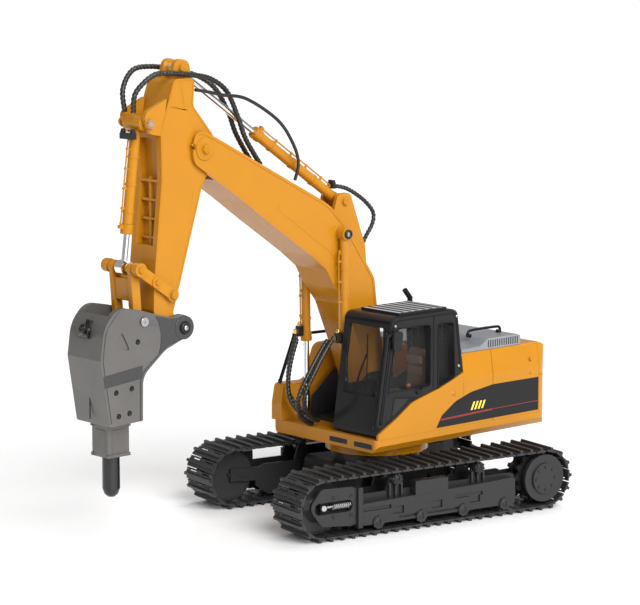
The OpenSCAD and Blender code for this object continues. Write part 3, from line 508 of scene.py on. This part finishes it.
def hub(bm, at, radius, y0, y1, lobes=8):
    """A notched hub cap with a raised centre, its top towards y1."""
    s = 1 if y1 > y0 else -1
    height = abs(y1 - y0)
    outline = []
    for k in range(lobes):
        for turn, r in ((0.12, radius), (0.4, radius), (0.5, radius * 0.78), (0.92, radius * 0.78)):
            t = 2 * math.pi * (k + turn) / lobes
            outline.append((at[0] + r * math.cos(t), at[1] + r * math.sin(t)))
    prism(bm, outline, min(y0, y0 + s * height * 0.7), max(y0, y0 + s * height * 0.7))
    lathe(bm, (at[0], y0, at[1]), (at[0], y1, at[1]),
          [(0, radius * 0.55), (height * 0.85, radius * 0.55), (height, radius * 0.46),
           (height, radius * 0.28), (height * 0.6, radius * 0.26), (height * 0.6, 0)], 24)


def make_side_details(side, sign):
    y = sign * TRACK_Y
    bm = bmesh.new()
    for at in ROAD:
        hub(bm, (at[0], at[1] + 0.6), 5.1, y + sign * 18, y + sign * 19.8)
    for at in CARRIER:
        hub(bm, (at[0], at[1] - 1.5), 4.6, y + sign * 14.8, y + sign * 16.4)
        for dx in (-3.4, 0, 3.4):
            block(bm, (at[0] + dx * 1.6 - 0.7, min(y + sign * 11, y + sign * 13), 25),
                  (at[0] + dx * 1.6 + 0.7, max(y + sign * 11, y + sign * 13), 37))
    add_piece(f"roller_hubs_{side}", bm, BASE, "undercarriage", "cover_black")
    bm = bmesh.new()
    for at in ((93.5, 32.7), (78, 32.8), (78, 18.3), (93.8, 18.4)):
        screw(bm, at, 1.5, y + sign * 17.4, sign)
    add_piece(f"guard_screws_{side}", bm, BASE, "undercarriage", "cover_black")
    bm = bmesh.new()
    rod_y(bm, (IDLER[0], IDLER[1] + 0.6), 2.3, y + sign * 14, y + sign * 17)
    add_piece(f"idler_axle_end_{side}", bm, BASE, "undercarriage", "pin_steel")


def make_springs():
    bm = bmesh.new()
    for sign in (1, -1):
        y = sign * (TRACK_Y + 13.9)
        z = IDLER[1] + 0.6
        coil = [Vector((77.6 + k * 0.075, y + 2.35 * math.cos(k * 0.27), z + 2.35 * math.sin(k * 0.27)))
                for k in range(210)]
        tube(bm, coil, 0.6, 8)
        lathe(bm, (77.2, y, z), (98, y, z), [(0, 1.3), (20.5, 1.3)], 20)
    springs = add_piece("spring_coils", bm, BASE, "undercarriage", "pin_steel")
    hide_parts("tensioner_springs")


def make_undercarriage():
    for side, sign in (("left", 1), ("right", -1)):
        make_track(side, sign)
        make_side_details(side, sign)
        cad_copy(f"side_cover_{side}", 0.0004)
        cad_copy(f"track_frame_{side}", 0.0003)
        cad_copy(f"sprocket_{side}", 0.0003)
        cad_copy(f"idler_{side}", 0.0005)
    cad_copy("chassis_frame", 0.0006)
    cad_copy("turntable_ring", 0.0003)
    make_springs()


# ---------- upper works ----------

def rounded(corners):
    """Points along an open line of (x, z, radius) corners."""
    points = [Vector(corners[0][:2])]
    for a, b, c in zip(corners, corners[1:], corners[2:]):
        at = Vector(b[:2])
        u = (Vector(a[:2]) - at).normalized()
        v = (Vector(c[:2]) - at).normalized()
        reach = b[2] / math.tan(u.angle(v) / 2)
        start, end = at + u * reach, at + v * reach
        steps = 6 if b[2] else 0
        for k in range(steps + 1):
            f = k / max(steps, 1)
            points.append(start * (1 - f) ** 2 + at * 2 * f * (1 - f) + end * f * f)
    points.append(Vector(corners[-1][:2]))
    return points


def ribbon(bm, edge, width, y0, y1):
    """A strip from y0 to y1 along the right-hand side of a line of (x, z) points."""
    stations = []
    for k, point in enumerate(edge):
        ahead = (edge[min(k + 1, len(edge) - 1)] - edge[max(k - 1, 0)]).normalized()
        inner = point + Vector((ahead.y, -ahead.x)) * width
        stations.append([bm.verts.new((p.x, y, p.y)) for p, y in
                         ((point, y0), (point, y1), (inner, y1), (inner, y0))])
    for s, t in zip(stations, stations[1:]):
        for k in range(4):
            m = (k + 1) % 4
            bm.faces.new((s[k], s[m], t[m], t[k]))
    bm.faces.new(stations[0])
    bm.faces.new(stations[-1])


def along(a, b, distance, out=0.0):
    """The (x, z) point at a distance from a towards b, and out to the right of that line."""
    d = (b - a).normalized()
    return a + d * distance + Vector((d.y, -d.x)) * out


HOUSE_SIDE = 60


def make_decal():
    y = HOUSE_SIDE
    bm = bmesh.new()
    top = rounded([(-7.2, 69.7, 0), (-13, 79, 10), (-28.1, 88.4, 20), (-45, 93.6, 20), (-69.3, 96.8, 30),
                   (-121, 96.6, 0)])
    prism(bm, [tuple(p) for p in top] + [(-121, 69.9)], y - 0.3, y + 0.08)
    add_piece("side_decal", bm, HOUSE, "house", "cab_black", smooth=False)
    bm = bmesh.new()
    prism(bm, [(-11.6, 75), (-12.2, 76.4), (-69, 77.7), (-69, 76.3)], y, y + 0.14)
    prism(bm, [(-70.2, 76.9), (-70.2, 77.4), (-121, 77.6), (-121, 77.1)], y, y + 0.14)
    add_piece("decal_line", bm, HOUSE, "house", "cab_black", smooth=False,
              material=moulded("decal_red", (0.24, 0.016, 0.012), 0.35, grain=0))
    bm = bmesh.new()
    for k in range(4):
        x = -44.6 - k * 3.85
        prism(bm, [(x, 79.2), (x - 1.9, 79.2), (x - 4.9, 85.5), (x - 3, 85.5)], y, y + 0.14)
    add_piece("decal_bars", bm, HOUSE, "house", "cab_black", smooth=False,
              material=moulded("decal_yellow", (0.9, 0.68, 0.06), 0.35, grain=0))


def make_body():
    cad_copy("house_deck", 0.0007)
    cad_copy("engine_cover", 0.0004)
    cad_copy("counterweight", 0.0006)
    cad_copy("cab_side_panel", 0.0005)
    cad_copy("right_side_cover", 0.0009)
    cad_copy("hood_grille", 0.0004)
    cad_copy("boom_bracket", 0.0003)
    make_decal()
    y = HOUSE_SIDE
    bm = bmesh.new()
    block(bm, (-104, -50, 124.7), (-101.9, 55.9, 131.9))
    prism(bm, [(-38.2, 124.7), (-38.2, 127.3), (-57.6, 127.8), (-60, 129), (-60, 124.7)], 54.8, 56.2)
    add_piece("hood_trim", bm, HOUSE, "house", "grille_grey", bevel=0.3)
    bm = bmesh.new()
    block(bm, (-101.6, 50.5, 125.4), (-67.4, 54.6, 131.8))
    add_piece("hood_dark", bm, HOUSE, "house", "frame_black", bevel=0.1)
    bm = bmesh.new()
    tube(bm, smooth_path([(-60, 40, 133), (-61, 40, 136.5), (-66, 40, 138), (-90, 40, 138), (-96, 40, 137),
                          (-97, 40, 133)], 0.8), 1.1)
    for x in (-62, -95):
        rod_y(bm, (x, 133.8), 1.6, 38.2, 41.8)
    add_piece("hood_rail", bm, HOUSE, "house", "cab_black")
    bm = bmesh.new()
    for centre, radius in (((-26, 94.8), 2.2), ((-112, 112), 1.5), ((-112, 101), 1.5)):
        lathe(bm, (centre[0], y - 0.4, centre[1]), (centre[0], y + 1, centre[1]),
              [(0, radius), (0.5, radius), (0.9, radius * 0.8), (1.15, radius * 0.4), (1.2, 0)])
    add_piece("side_buttons", bm, HOUSE, "house", "yellow_plastic")
    bm = bmesh.new()
    for x0, x1 in ((7, 27), (35, 55)):
        block(bm, (55.6, x0, 60.6), (56.25, x1, 64.4))
    add_piece("deck_slots", bm, HOUSE, "house", "frame_black", bevel=0.2)
    bm = bmesh.new()
    for sign in (1, -1):
        for z in (77, 88):
            block(bm, (-136.3, sign * 15 - 7, z), (-135.6, sign * 15 + 7, z + 5))
    add_piece("rear_lamps", bm, HOUSE, "house", "cab_black", bevel=0.3,
              material=moulded("lamp_red", (0.3, 0.02, 0.015), 0.2, grain=0, coat=0.6))
    bm = bmesh.new()
    for k in range(9):
        block(bm, (-60 - k * 4.4, -60.3, 84), (-62.4 - k * 4.4, -59.6, 104))
    add_piece("right_louvres", bm, HOUSE, "house", "frame_black", bevel=0.3)


def make_cab():
    cad_copy("cab_frame", 0.0005)
    cad_copy("cab_interior", 0.0012)
    cad_copy("mirror", 0.0005)
    y = HOUSE_SIDE
    bm = bmesh.new()
    door = [(44.6, 103.2, 0), (35.5, 152.4, 5), (-0.9, 152.4, 4), (-0.9, 103.2, 4), (44.6, 103.2, 0)]
    rear_pane = [(-8.2, 101.2, 0), (-8.2, 151.8, 3), (-25.3, 151.8, 4), (-27.4, 107.4, 4), (-8.2, 101.2, 0)]
    for edge in (door, rear_pane):
        ribbon(bm, rounded(edge)[::-1], 0.9, y - 0.2, y + 0.5)
    outer = rounded([(51.3, 77.5, 0), (38.6, 158.6, 8), (-28, 158.6, 6), (-33.8, 112, 0)])
    ribbon(bm, outer[::-1], 1.1, y - 0.2, y + 0.45)
    prism(bm, [(-3.2, 100.8), (-5.2, 101.4), (-5.2, 157.5), (-3.2, 157.5)], y - 0.2, y + 0.4)
    prism(bm, [(38.6, 99.8), (35.6, 99.8), (11, 96.8), (20.4, 93.8), (34.6, 84.6), (41, 81.4)],
          y - 0.1, y + 0.25)
    handle = [(14.2, y, 100.3), (14.2, y + 1.7, 100.5), (9.8, y + 1.9, 103), (9.8, y, 103.4)]
    tube(bm, smooth_path(handle, 0.5), 0.7)
    add_piece("cab_trim", bm, HOUSE, "house", "cab_black", bevel=0.15)
    bm = bmesh.new()
    prism(bm, [(36.6, 98.2), (22.6, 96.6), (34.8, 88), (40.2, 85.4)], y + 0.2, y + 0.3)
    add_piece("cab_recess", bm, HOUSE, "house", "frame_black", smooth=False)
    bm = bmesh.new()
    for at in ((-28.3, 155.3), (36.8, 154.2), (-31, 116)):
        screw(bm, at, 1.1, y, 1)
    add_piece("cab_screws", bm, HOUSE, "house", "pin_steel")
    # The wiper's arm and blade, and the bar at the front corner.
    bm = bmesh.new()
    x = 43.4
    corner_bar = [(58.2, 57.5, 78), (54.5, 58.5, 96), (47.5, 58.8, 134), (44, 57.8, 147), (41, 55, 149)]
    tube(bm, smooth_path([(x + 4.4, 26, 100), (x + 2.2, 30, 116), (x - 0.2, 36, 132)], 1), 0.7)
    tube(bm, smooth_path([(x + 4.6, 40, 104), (x + 1.2, 37, 122), (x - 2, 34, 146)], 1), 0.5)
    tube(bm, smooth_path(corner_bar, 1), 1.3)
    add_piece("cab_front_bars", bm, HOUSE, "house", "cab_black")
    bm = bmesh.new()
    for k in range(6):
        x = -17 + k * 7.5
        prism(bm, [(x, 162.4), (x, 163.1), (x + 2.8, 163.1), (x + 2.8, 162.4)], 14, 53)
    add_piece("roof_ribs", bm, HOUSE, "house", "cab_black", bevel=0.2)
    # The roof pane's pale grey is painted reflection: it stands for the bright surroundings mirrored in the
    # glossy pane.
    bm = bmesh.new()
    block(bm, (-20, 13.5, 162.2), (27, 53.5, 162.75))
    add_piece("roof_pane", bm, HOUSE, "house", "cab_black", bevel=0.2,
              material=moulded("roof_painted_reflection", (0.55, 0.56, 0.58), 0.12, grain=0, coat=0.5))
    seat = (HOUSE_SIDE + 7.2) / 2
    bm = bmesh.new()
    for k in range(4):
        low = 93 + k * 8.2
        block(bm, (-8.6 + k * 0.3, seat - 7.5, low), (-7.9 + k * 0.3 - 0.9 * k, seat + 7.5, low + 6))
    add_piece("seat_ribs", bm, HOUSE, "house", "interior_brown", bevel=0.8)


# ---------- boom, stick and hammer ----------

BOOM_TOP = [(-11, 100, 0), (-11, 110, 0.1), (-2.5, 157.9, 12), (0.4, 181.4, 16), (30.3, 224.9, 20),
            (46.1, 240.9, 20), (57.1, 247.6, 10), (181.4, 311.8, 11.4), (181.4, 297, 0)]
BOOM_BELLY = [(181.4, 297, 0), (181.4, 283.5, 11), (134, 251.7, 60), (107.5, 232.8, 0.1), (66.2, 204.5, 12),
              (50.5, 192.1, 6), (41.6, 176.9, 12), (29.9, 162.6, 8), (16.3, 130.1, 0.1), (4, 97, 0)]
STICK_EDGE = [(198.6, 175, 0), (191.6, 197, 14), (170, 268, 0.1), (161, 280, 14), (158, 300, 12),
              (178.6, 324.7, 6), (177, 345, 5), (196, 345, 5), (209, 308, 14), (208.5, 272, 20),
              (216, 200, 6), (217, 178, 0)]
BOOM_HALF = 18
STICK_HALF = 15
LINK_PIN = Vector((229.8, 170.8))
FRONT_EDGE = [(252, 181.4, 0), (264.4, 168.6, 20), (267.6, 146, 2), (260.6, 99, 0)]
REAR_EDGE = [(233, 98.6, 0), (232.6, 131.6, 14), (211, 148.8, 0)]


def make_boom():
    for side, sign in (("left", 1), ("right", -1)):
        cad_copy(f"boom_shell_{side}", 0.0006)
        bm = bmesh.new()
        for edge in (BOOM_TOP, BOOM_BELLY):
            ribbon(bm, rounded(edge), 2.1, sign * (BOOM_HALF - 0.3), sign * (BOOM_HALF + 0.45))
        prism(bm, [(32, 196), (38, 204), (98, 247), (100, 243), (46, 205), (38, 193)],
              sign * (BOOM_HALF - 0.3), sign * (BOOM_HALF + 0.2))
        rod_y(bm, tuple(BOOM_TIP), 8.6, sign * (BOOM_HALF - 0.5), sign * (BOOM_HALF + 0.8), 40)
        rod_y(bm, tuple(BOOM_TOP_PIN), 6.2, sign * (BOOM_HALF - 0.5), sign * (BOOM_HALF + 0.45), 40)
        rod_y(bm, (-3, 98), 6.4, sign * (BOOM_HALF - 0.5), sign * (BOOM_HALF + 0.3), 40)
        add_piece(f"boom_trim_{side}", bm, BOOM, "boom", "yellow_plastic", bevel=0.3)
    bm = bmesh.new()
    for sign in (1, -1):
        hexagon(bm, tuple(BOOM_TIP), 3.6, sign * (BOOM_HALF + 0.7), sign * (BOOM_HALF + 3))
        hexagon(bm, tuple(ARM_REAR_PIN), 3.2, sign * 9.4, sign * 11.6)
    add_piece("boom_bolts", bm, BOOM, "boom", "yellow_plastic")
    bm = bmesh.new()
    for sign in (1, -1):
        lathe(bm, (BOOM_TOP_PIN.x, sign * 27, BOOM_TOP_PIN.y), (BOOM_TOP_PIN.x, sign * 30, BOOM_TOP_PIN.y),
              [(0, 3.6), (1.6, 3.6), (2, 3.2), (2, 2.1), (0.6, 2), (0.6, 0)])
    add_piece("boom_pin_ends", bm, BOOM, "boom", "cover_black")


def make_stick():
    for side, sign in (("left", 1), ("right", -1)):
        cad_copy(f"stick_shell_{side}", 0.0006)
        bm = bmesh.new()
        ribbon(bm, rounded(STICK_EDGE), 1.7, sign * (STICK_HALF - 0.3), sign * (STICK_HALF + 0.25))
        prism(bm, [(190, 344), (191.6, 344), (186.4, 322), (184.8, 322)],
              sign * (STICK_HALF - 0.2), sign * (STICK_HALF + 0.2))
        prism(bm, [(184.8, 322), (186.4, 322), (203, 326), (202.6, 324.4)],
              sign * (STICK_HALF - 0.2), sign * (STICK_HALF + 0.2))
        add_piece(f"stick_trim_{side}", bm, BOOM, "stick", "yellow_plastic", bevel=0.2)
    bm = bmesh.new()
    for sign in (1, -1):
        hexagon(bm, tuple(BUCKET_PIN), 3.4, sign * (STICK_HALF + 0.05), sign * (STICK_HALF + 2.9))
        hexagon(bm, (183, 352), 3.4, sign * 8.05, sign * 10.4)
        hexagon(bm, tuple(ROCKER_PIN), 3.3, sign * (STICK_HALF + 4.3), sign * (STICK_HALF + 6.6))
    add_piece("stick_bolts", bm, BOOM, "stick", "yellow_plastic")
    bm = bmesh.new()
    for k in range(5):
        z = 214 + k * 14
        block(bm, (205.4, -12, z), (208.4, 12, z + 2))
    block(bm, (205.6, -1.1, 212), (207.8, 1.1, 274))
    add_piece("stick_front_ribs", bm, BOOM, "stick", "yellow_plastic", bevel=0.3)
    cad_copy("rocker_links", 0.0004)
    cad_copy("h_link", 0.0004)
    bm = bmesh.new()
    near, far, half_thick = 7.5, 24, 2.6
    corners = [along(CROSS_PIN, LINK_PIN, distance, out) for distance, out in
               ((near, -half_thick), (near, half_thick), (far, half_thick), (far, -half_thick))]
    prism(bm, [tuple(corner) for corner in corners], -9.4, 9.4)
    add_piece("link_plate", bm, BOOM, "link", "yellow_plastic", bevel=0.5)


def barrel_pipe(bm, a, b, length, out, y, start=16):
    """The oil pipe clamped along a barrel, and the lug that it ends in near the gland."""
    r = 4 if y == 0 else 3.6
    side = out * (r + 2.2)
    points = [along(a, b, start, out * r), along(a, b, start + 1.5, side), along(a, b, length - 10, side),
              along(a, b, length - 7, side * 1.1), along(a, b, length - 5, out * r)]
    tube(bm, smooth_path([(p.x, y, p.y) for p in points], 0.8), 0.62, 8)
    for d in (0.24, 0.42, 0.6, 0.78):
        at = length * d
        p, q = along(a, b, at, out * (r - 0.5)), along(a, b, at, out * (r + 3.2))
        n = (b - a).normalized() * 0.8
        prism(bm, [tuple(p - n), tuple(q - n), tuple(q + n), tuple(p + n)], y - 0.7, y + 0.7)
    p, q = along(a, b, length - 4, out * (r - 0.5)), along(a, b, length - 4, out * (r + 3.6))
    n = (b - a).normalized() * 1.7
    prism(bm, [tuple(p - n), tuple(q - n * 0.7), tuple(q + n * 0.7), tuple(p + n)], y - 1.5, y + 1.5)


def gland(bm, a, b, length, r, y):
    """The turned end of a barrel, with its wiper groove."""
    start, end = along(a, b, length - 6.5), along(a, b, length + 1.2)
    lathe(bm, (start.x, y, start.y), (end.x, y, end.y),
          [(0, r), (0.5, r + 0.9), (3, r + 0.9), (3.3, r + 0.5), (4, r + 0.5), (4.3, r + 0.9), (7, r + 0.9),
           (7.6, r + 0.5), (7.7, 2.45)], 28)


def make_cylinders():
    foot = Vector((34.5, 69))
    horn = Vector((183, 352))
    bm = bmesh.new()
    for y in (22.8, -22.8):
        barrel_pipe(bm, BOOM_TOP_PIN, foot, 88, -1, y)
        gland(bm, BOOM_TOP_PIN, foot, 88, 3.6, y)
    add_piece("boom_barrel_pipes", bm, BOOM, "boom_barrels", "yellow_plastic", bevel=0.15)
    bm = bmesh.new()
    barrel_pipe(bm, ARM_REAR_PIN, horn, 102, -1, 0)
    gland(bm, ARM_REAR_PIN, horn, 102, 4, 0)
    add_piece("arm_barrel_pipe", bm, BOOM, "arm_barrel", "yellow_plastic", bevel=0.15)
    bm = bmesh.new()
    barrel_pipe(bm, BUCKET_PIN, CROSS_PIN, 80, -1, 0, 14)
    gland(bm, BUCKET_PIN, CROSS_PIN, 80, 4, 0)
    add_piece("bucket_barrel_pipe", bm, BOOM, "bucket_barrel", "yellow_plastic", bevel=0.15)
    for node in ("boom_barrels", "arm_barrel", "bucket_barrel"):
        cad_copy(node, 0.0003)
    bm = bmesh.new()
    fitting(bm, along(BUCKET_PIN, CROSS_PIN, 10, -6.5), 9, 4.4, 4.4)
    add_piece("bucket_fitting", bm, BOOM, "bucket_barrel", "frame_black", bevel=0.3)
    bm = bmesh.new()
    fitting(bm, along(ARM_REAR_PIN, horn, 11, -6.4), 5, 3.4, 3.4)
    add_piece("arm_fitting", bm, BOOM, "arm_barrel", "frame_black", bevel=0.3)
    bm = bmesh.new()
    for y in (22.8, -22.8):
        block(bm, (40, y - 2.4, 135), (44.8, y + 2.4, 143))
        block(bm, (41.2, y - 3.4, 136), (43.8, y + 3.4, 140))
    add_piece("hose_blocks", bm, BOOM, "boom_barrels", "frame_black", bevel=0.4)
    brass = moulded("brass", (0.78, 0.5, 0.16), 0.22, metallic=1.0, grain=0.1)
    bm = bmesh.new()
    for y in (22.8, -22.8):
        block(bm, (44.4, y - 1.8, 137), (47.6, y + 1.8, 140.6))
        lathe(bm, (42.4, y, 142.8), (42.4, y, 146), [(0, 2.3), (1.4, 2.3), (1.8, 1.6), (3.2, 1.6)], 6)
    add_piece("hose_brass", bm, BOOM, "boom_barrels", "frame_black", bevel=0.25, material=brass)


def fitting(bm, at, half_y, length, height):
    """A cross block with a hose nut at each end."""
    block(bm, (at.x - length / 2, -half_y + 1.5, at.y - height / 2),
          (at.x + length / 2, half_y - 1.5, at.y + height / 2))
    for sign in (1, -1):
        y = sign * (half_y - 3.2)
        lathe(bm, (at.x, y, at.y + height / 2 - 0.3), (at.x, y, at.y + height / 2 + 3.4),
              [(0, 2.3), (1.8, 2.3), (2, 1.8), (3.4, 1.8)], 6)


def make_hammer():
    cad_copy("hammer_body", 0.0005)
    half = 20
    dark = "frame_black"
    bm = bmesh.new()
    for sign in (1, -1):
        rod_y(bm, tuple(HAMMER_PIN), 8.8, sign * (half - 0.2), sign * (half + 0.9), 40)
        prism(bm, [(219.5, 174), (206, 170.6), (195, 170.6), (188, 163), (195, 154), (208, 150.4),
                   (217, 144.4), (214.8, 151), (214.2, 160), (216, 168)],
              sign * (half - 0.2), sign * (half + 0.4))
        for edge, width in ((FRONT_EDGE, 0.8), (REAR_EDGE, 1.5)):
            ribbon(bm, rounded(edge), width, sign * (half - 0.2), sign * (half + 0.2))
        prism(bm, [(231.6, 139), (267.2, 134.6), (266, 125.8), (231.8, 129.4)], sign * (half - 0.2),
              sign * (half + 0.25))
    add_piece("hammer_plates", bm, BOOM, "hammer", dark, bevel=0.3,
              material=moulded("hammer_dark", (0.03, 0.029, 0.03), 0.25, grain=0.4, coat=0.3))
    bm = bmesh.new()
    for sign in (1, -1):
        hexagon(bm, tuple(HAMMER_PIN), 4.6, sign * (half + 0.5), sign * (half + 3))
    add_piece("hammer_nuts", bm, BOOM, "hammer", dark)
    bm = bmesh.new()
    for sign in (1, -1):
        lathe(bm, (HAMMER_PIN.x, sign * (half + 1.6), HAMMER_PIN.y),
              (HAMMER_PIN.x, sign * (half + 4), HAMMER_PIN.y),
              [(0, 1.9), (1.6, 1.9), (1.9, 1.5), (1.9, 0)], 20)
        screw(bm, tuple(LINK_PIN), 3.4, sign * (half + 0.9), sign)
    add_piece("hammer_silver", bm, BOOM, "hammer", "pin_steel")
    middle = (ROCKER_PIN + CROSS_PIN) / 2
    bm = bmesh.new()
    for sign in (1, -1):
        rod_y(bm, tuple(middle), 4.4, sign * 18.6, sign * 20.2)
        hexagon(bm, tuple(middle), 2.3, sign * 20.1, sign * 21.6)
        hexagon(bm, tuple(CROSS_PIN), 2.7, sign * 20.9, sign * 22.6)
    add_piece("rocker_bolts", bm, BOOM, "rocker", "yellow_plastic")
    bm = bmesh.new()
    for sign in (1, -1):
        for at in ((235.6, 156.6), (241.5, 123), (255.6, 121.5), (243.8, 105), (253.5, 104)):
            lathe(bm, (at[0], sign * (half - 1.6), at[1]), (at[0], sign * half, at[1]),
                  [(0, 1.7), (0.8, 1.7), (1, 1.4), (0.6, 0.7), (0.6, 0)], 6)
    add_piece("hammer_screws", bm, BOOM, "hammer", dark)
    bm = bmesh.new()
    lathe(bm, (264, 0, 164.6), (273, 0, 169.8),
          [(0, 4.2), (4, 4.2), (4.6, 3.4), (8, 3.4), (8.4, 3), (8.4, 1.8), (6, 1.7), (6, 0)], 28)
    tube(bm, [Vector((267, -7.5, 163.6)), Vector((267, 5, 163.6))], 3.2, 20)
    tube(bm, [Vector((266.6, 0, 163)), Vector((263.6, 0, 173.6))], 2.9, 20)
    port = moulded("port_black", (0.006, 0.006, 0.006), 0.12, grain=0.1, specular=0.5)
    add_piece("hammer_port", bm, BOOM, "hammer", dark, bevel=0.3, material=port)
    bm = bmesh.new()
    block(bm, (264.2, -0.3, 101), (264.9, 0.3, 158))
    add_piece("hammer_seam", bm, BOOM, "hammer", dark, smooth=False)
    bm = bmesh.new()
    x = 246.2
    for sign in (1, -1):
        block(bm, (x - 6, sign * 9.4, 75), (x + 6, sign * 10, 92))
    block(bm, (x + 9.4, -6, 75), (x + 10, 6, 92))
    block(bm, (x - 10, -6, 75), (x - 9.4, 6, 92))
    for z0, z1, w in ((71.5, 74, 10.4), (93.5, 97.2, 10.6)):
        for a, b in (((x - w, -w), (x + w, 9.2 - w)), ((x - w, w - 9.2), (x + w, w))):
            block(bm, (a[0], a[1] if a[1] < 0 else 8, z0), (b[0], b[1] if b[1] > 0 else -8, z1))
    add_piece("hammer_collar", bm, BOOM, "hammer", "hammer_grey", bevel=0.4)
    cad_copy("chisel", 0.0003, moulded("chisel_black", (0.012, 0.012, 0.013), 0.22, grain=0.3, specular=0.5))


# ---------- hoses ----------

STICK_HOSE_NEAR = [(226, 5, 321.4), (225, 7, 336), (212, 10.8, 348), (196, 10.8, 349), (176, 10.8, 347),
                   (156, 8, 343), (140, 7, 333), (128, 5, 314), (120, 5, 296), (105, 4, 276.2)]
STICK_HOSE_FAR = [(226, -5, 321.4), (226, -7, 338), (214, -10.8, 351), (197, -10.8, 353), (177, -10.8, 350),
                  (157, -8, 345), (141, -6, 335), (129, -5.2, 317), (121, -5, 299), (107, -4, 277.2)]
STICK_CABLE = [(174, 12, 336), (162, 12, 334), (148, 12, 331), (125, 12, 327), (95, 12, 310), (79, 11, 292),
               (72, 10, 276), (74, 8, 262)]
BOOM_HOSE = [(29, 0, 254.6), (16, 0, 252), (5, 0, 247), (-7, 0, 239), (-15, 0, 230), (-14, 0, 221),
             (-6, 0, 210), (-1, 0, 200)]
NEAR_HOSE = [(47, 23, 140), (57, 24, 130), (70, 24, 112), (76, 22, 98), (72, 18, 86), (60, 12, 76),
             (48, 6, 72)]
FAR_HOSE = [(46, -22, 136), (52, -22, 120), (56, -21, 104), (56, -19, 90), (50, -14, 79), (44, -8, 73)]


def hose(name, points, body, radius=2.1, spiral=True):
    bm = bmesh.new()
    if spiral:
        tube(bm, smooth_path(points, 0.34), radius, 12, wave=0.65, wave_length=3.2)
    else:
        tube(bm, smooth_path(points, 1.0), radius, 14)
    return add_piece(name, bm, BOOM, body, "hose_black")


def blend_between(piece):
    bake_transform(piece)


def make_hoses():
    for name, points in (("stick_hose_near", STICK_HOSE_NEAR), ("stick_hose_far", STICK_HOSE_FAR)):
        piece = hose(name, points, None)
        blend_between(piece)
        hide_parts("arm_hoses")
    cable = hose("stick_cable", STICK_CABLE, None, 1.3, spiral=False)
    blend_between(cable)
    hose("boom_hose", BOOM_HOSE, "boom", 1.8)
    for name, points, sign in (("near", NEAR_HOSE, -1), ("far", FAR_HOSE, 1)):
        for k, shift in enumerate((0, 4)):
            shifted = [(p[0] + shift * 0.8, p[1] + sign * shift, p[2] - shift * 0.6) for p in points]
            piece = hose(f"cylinder_hose_{name}_{k + 1}", shifted, None, 1.9)
            blend_between(piece)
            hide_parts("cylinder_hoses")


MATERIALS = make_materials()
make_camera()
make_studio()
for node, thing in frame["nodes"].items():
    thing.data.materials.clear()
    thing.data.materials.append(MATERIALS[slots[node]])
make_undercarriage()
make_body()
make_cab()
make_boom()
make_stick()
make_cylinders()
make_hammer()
make_hoses()
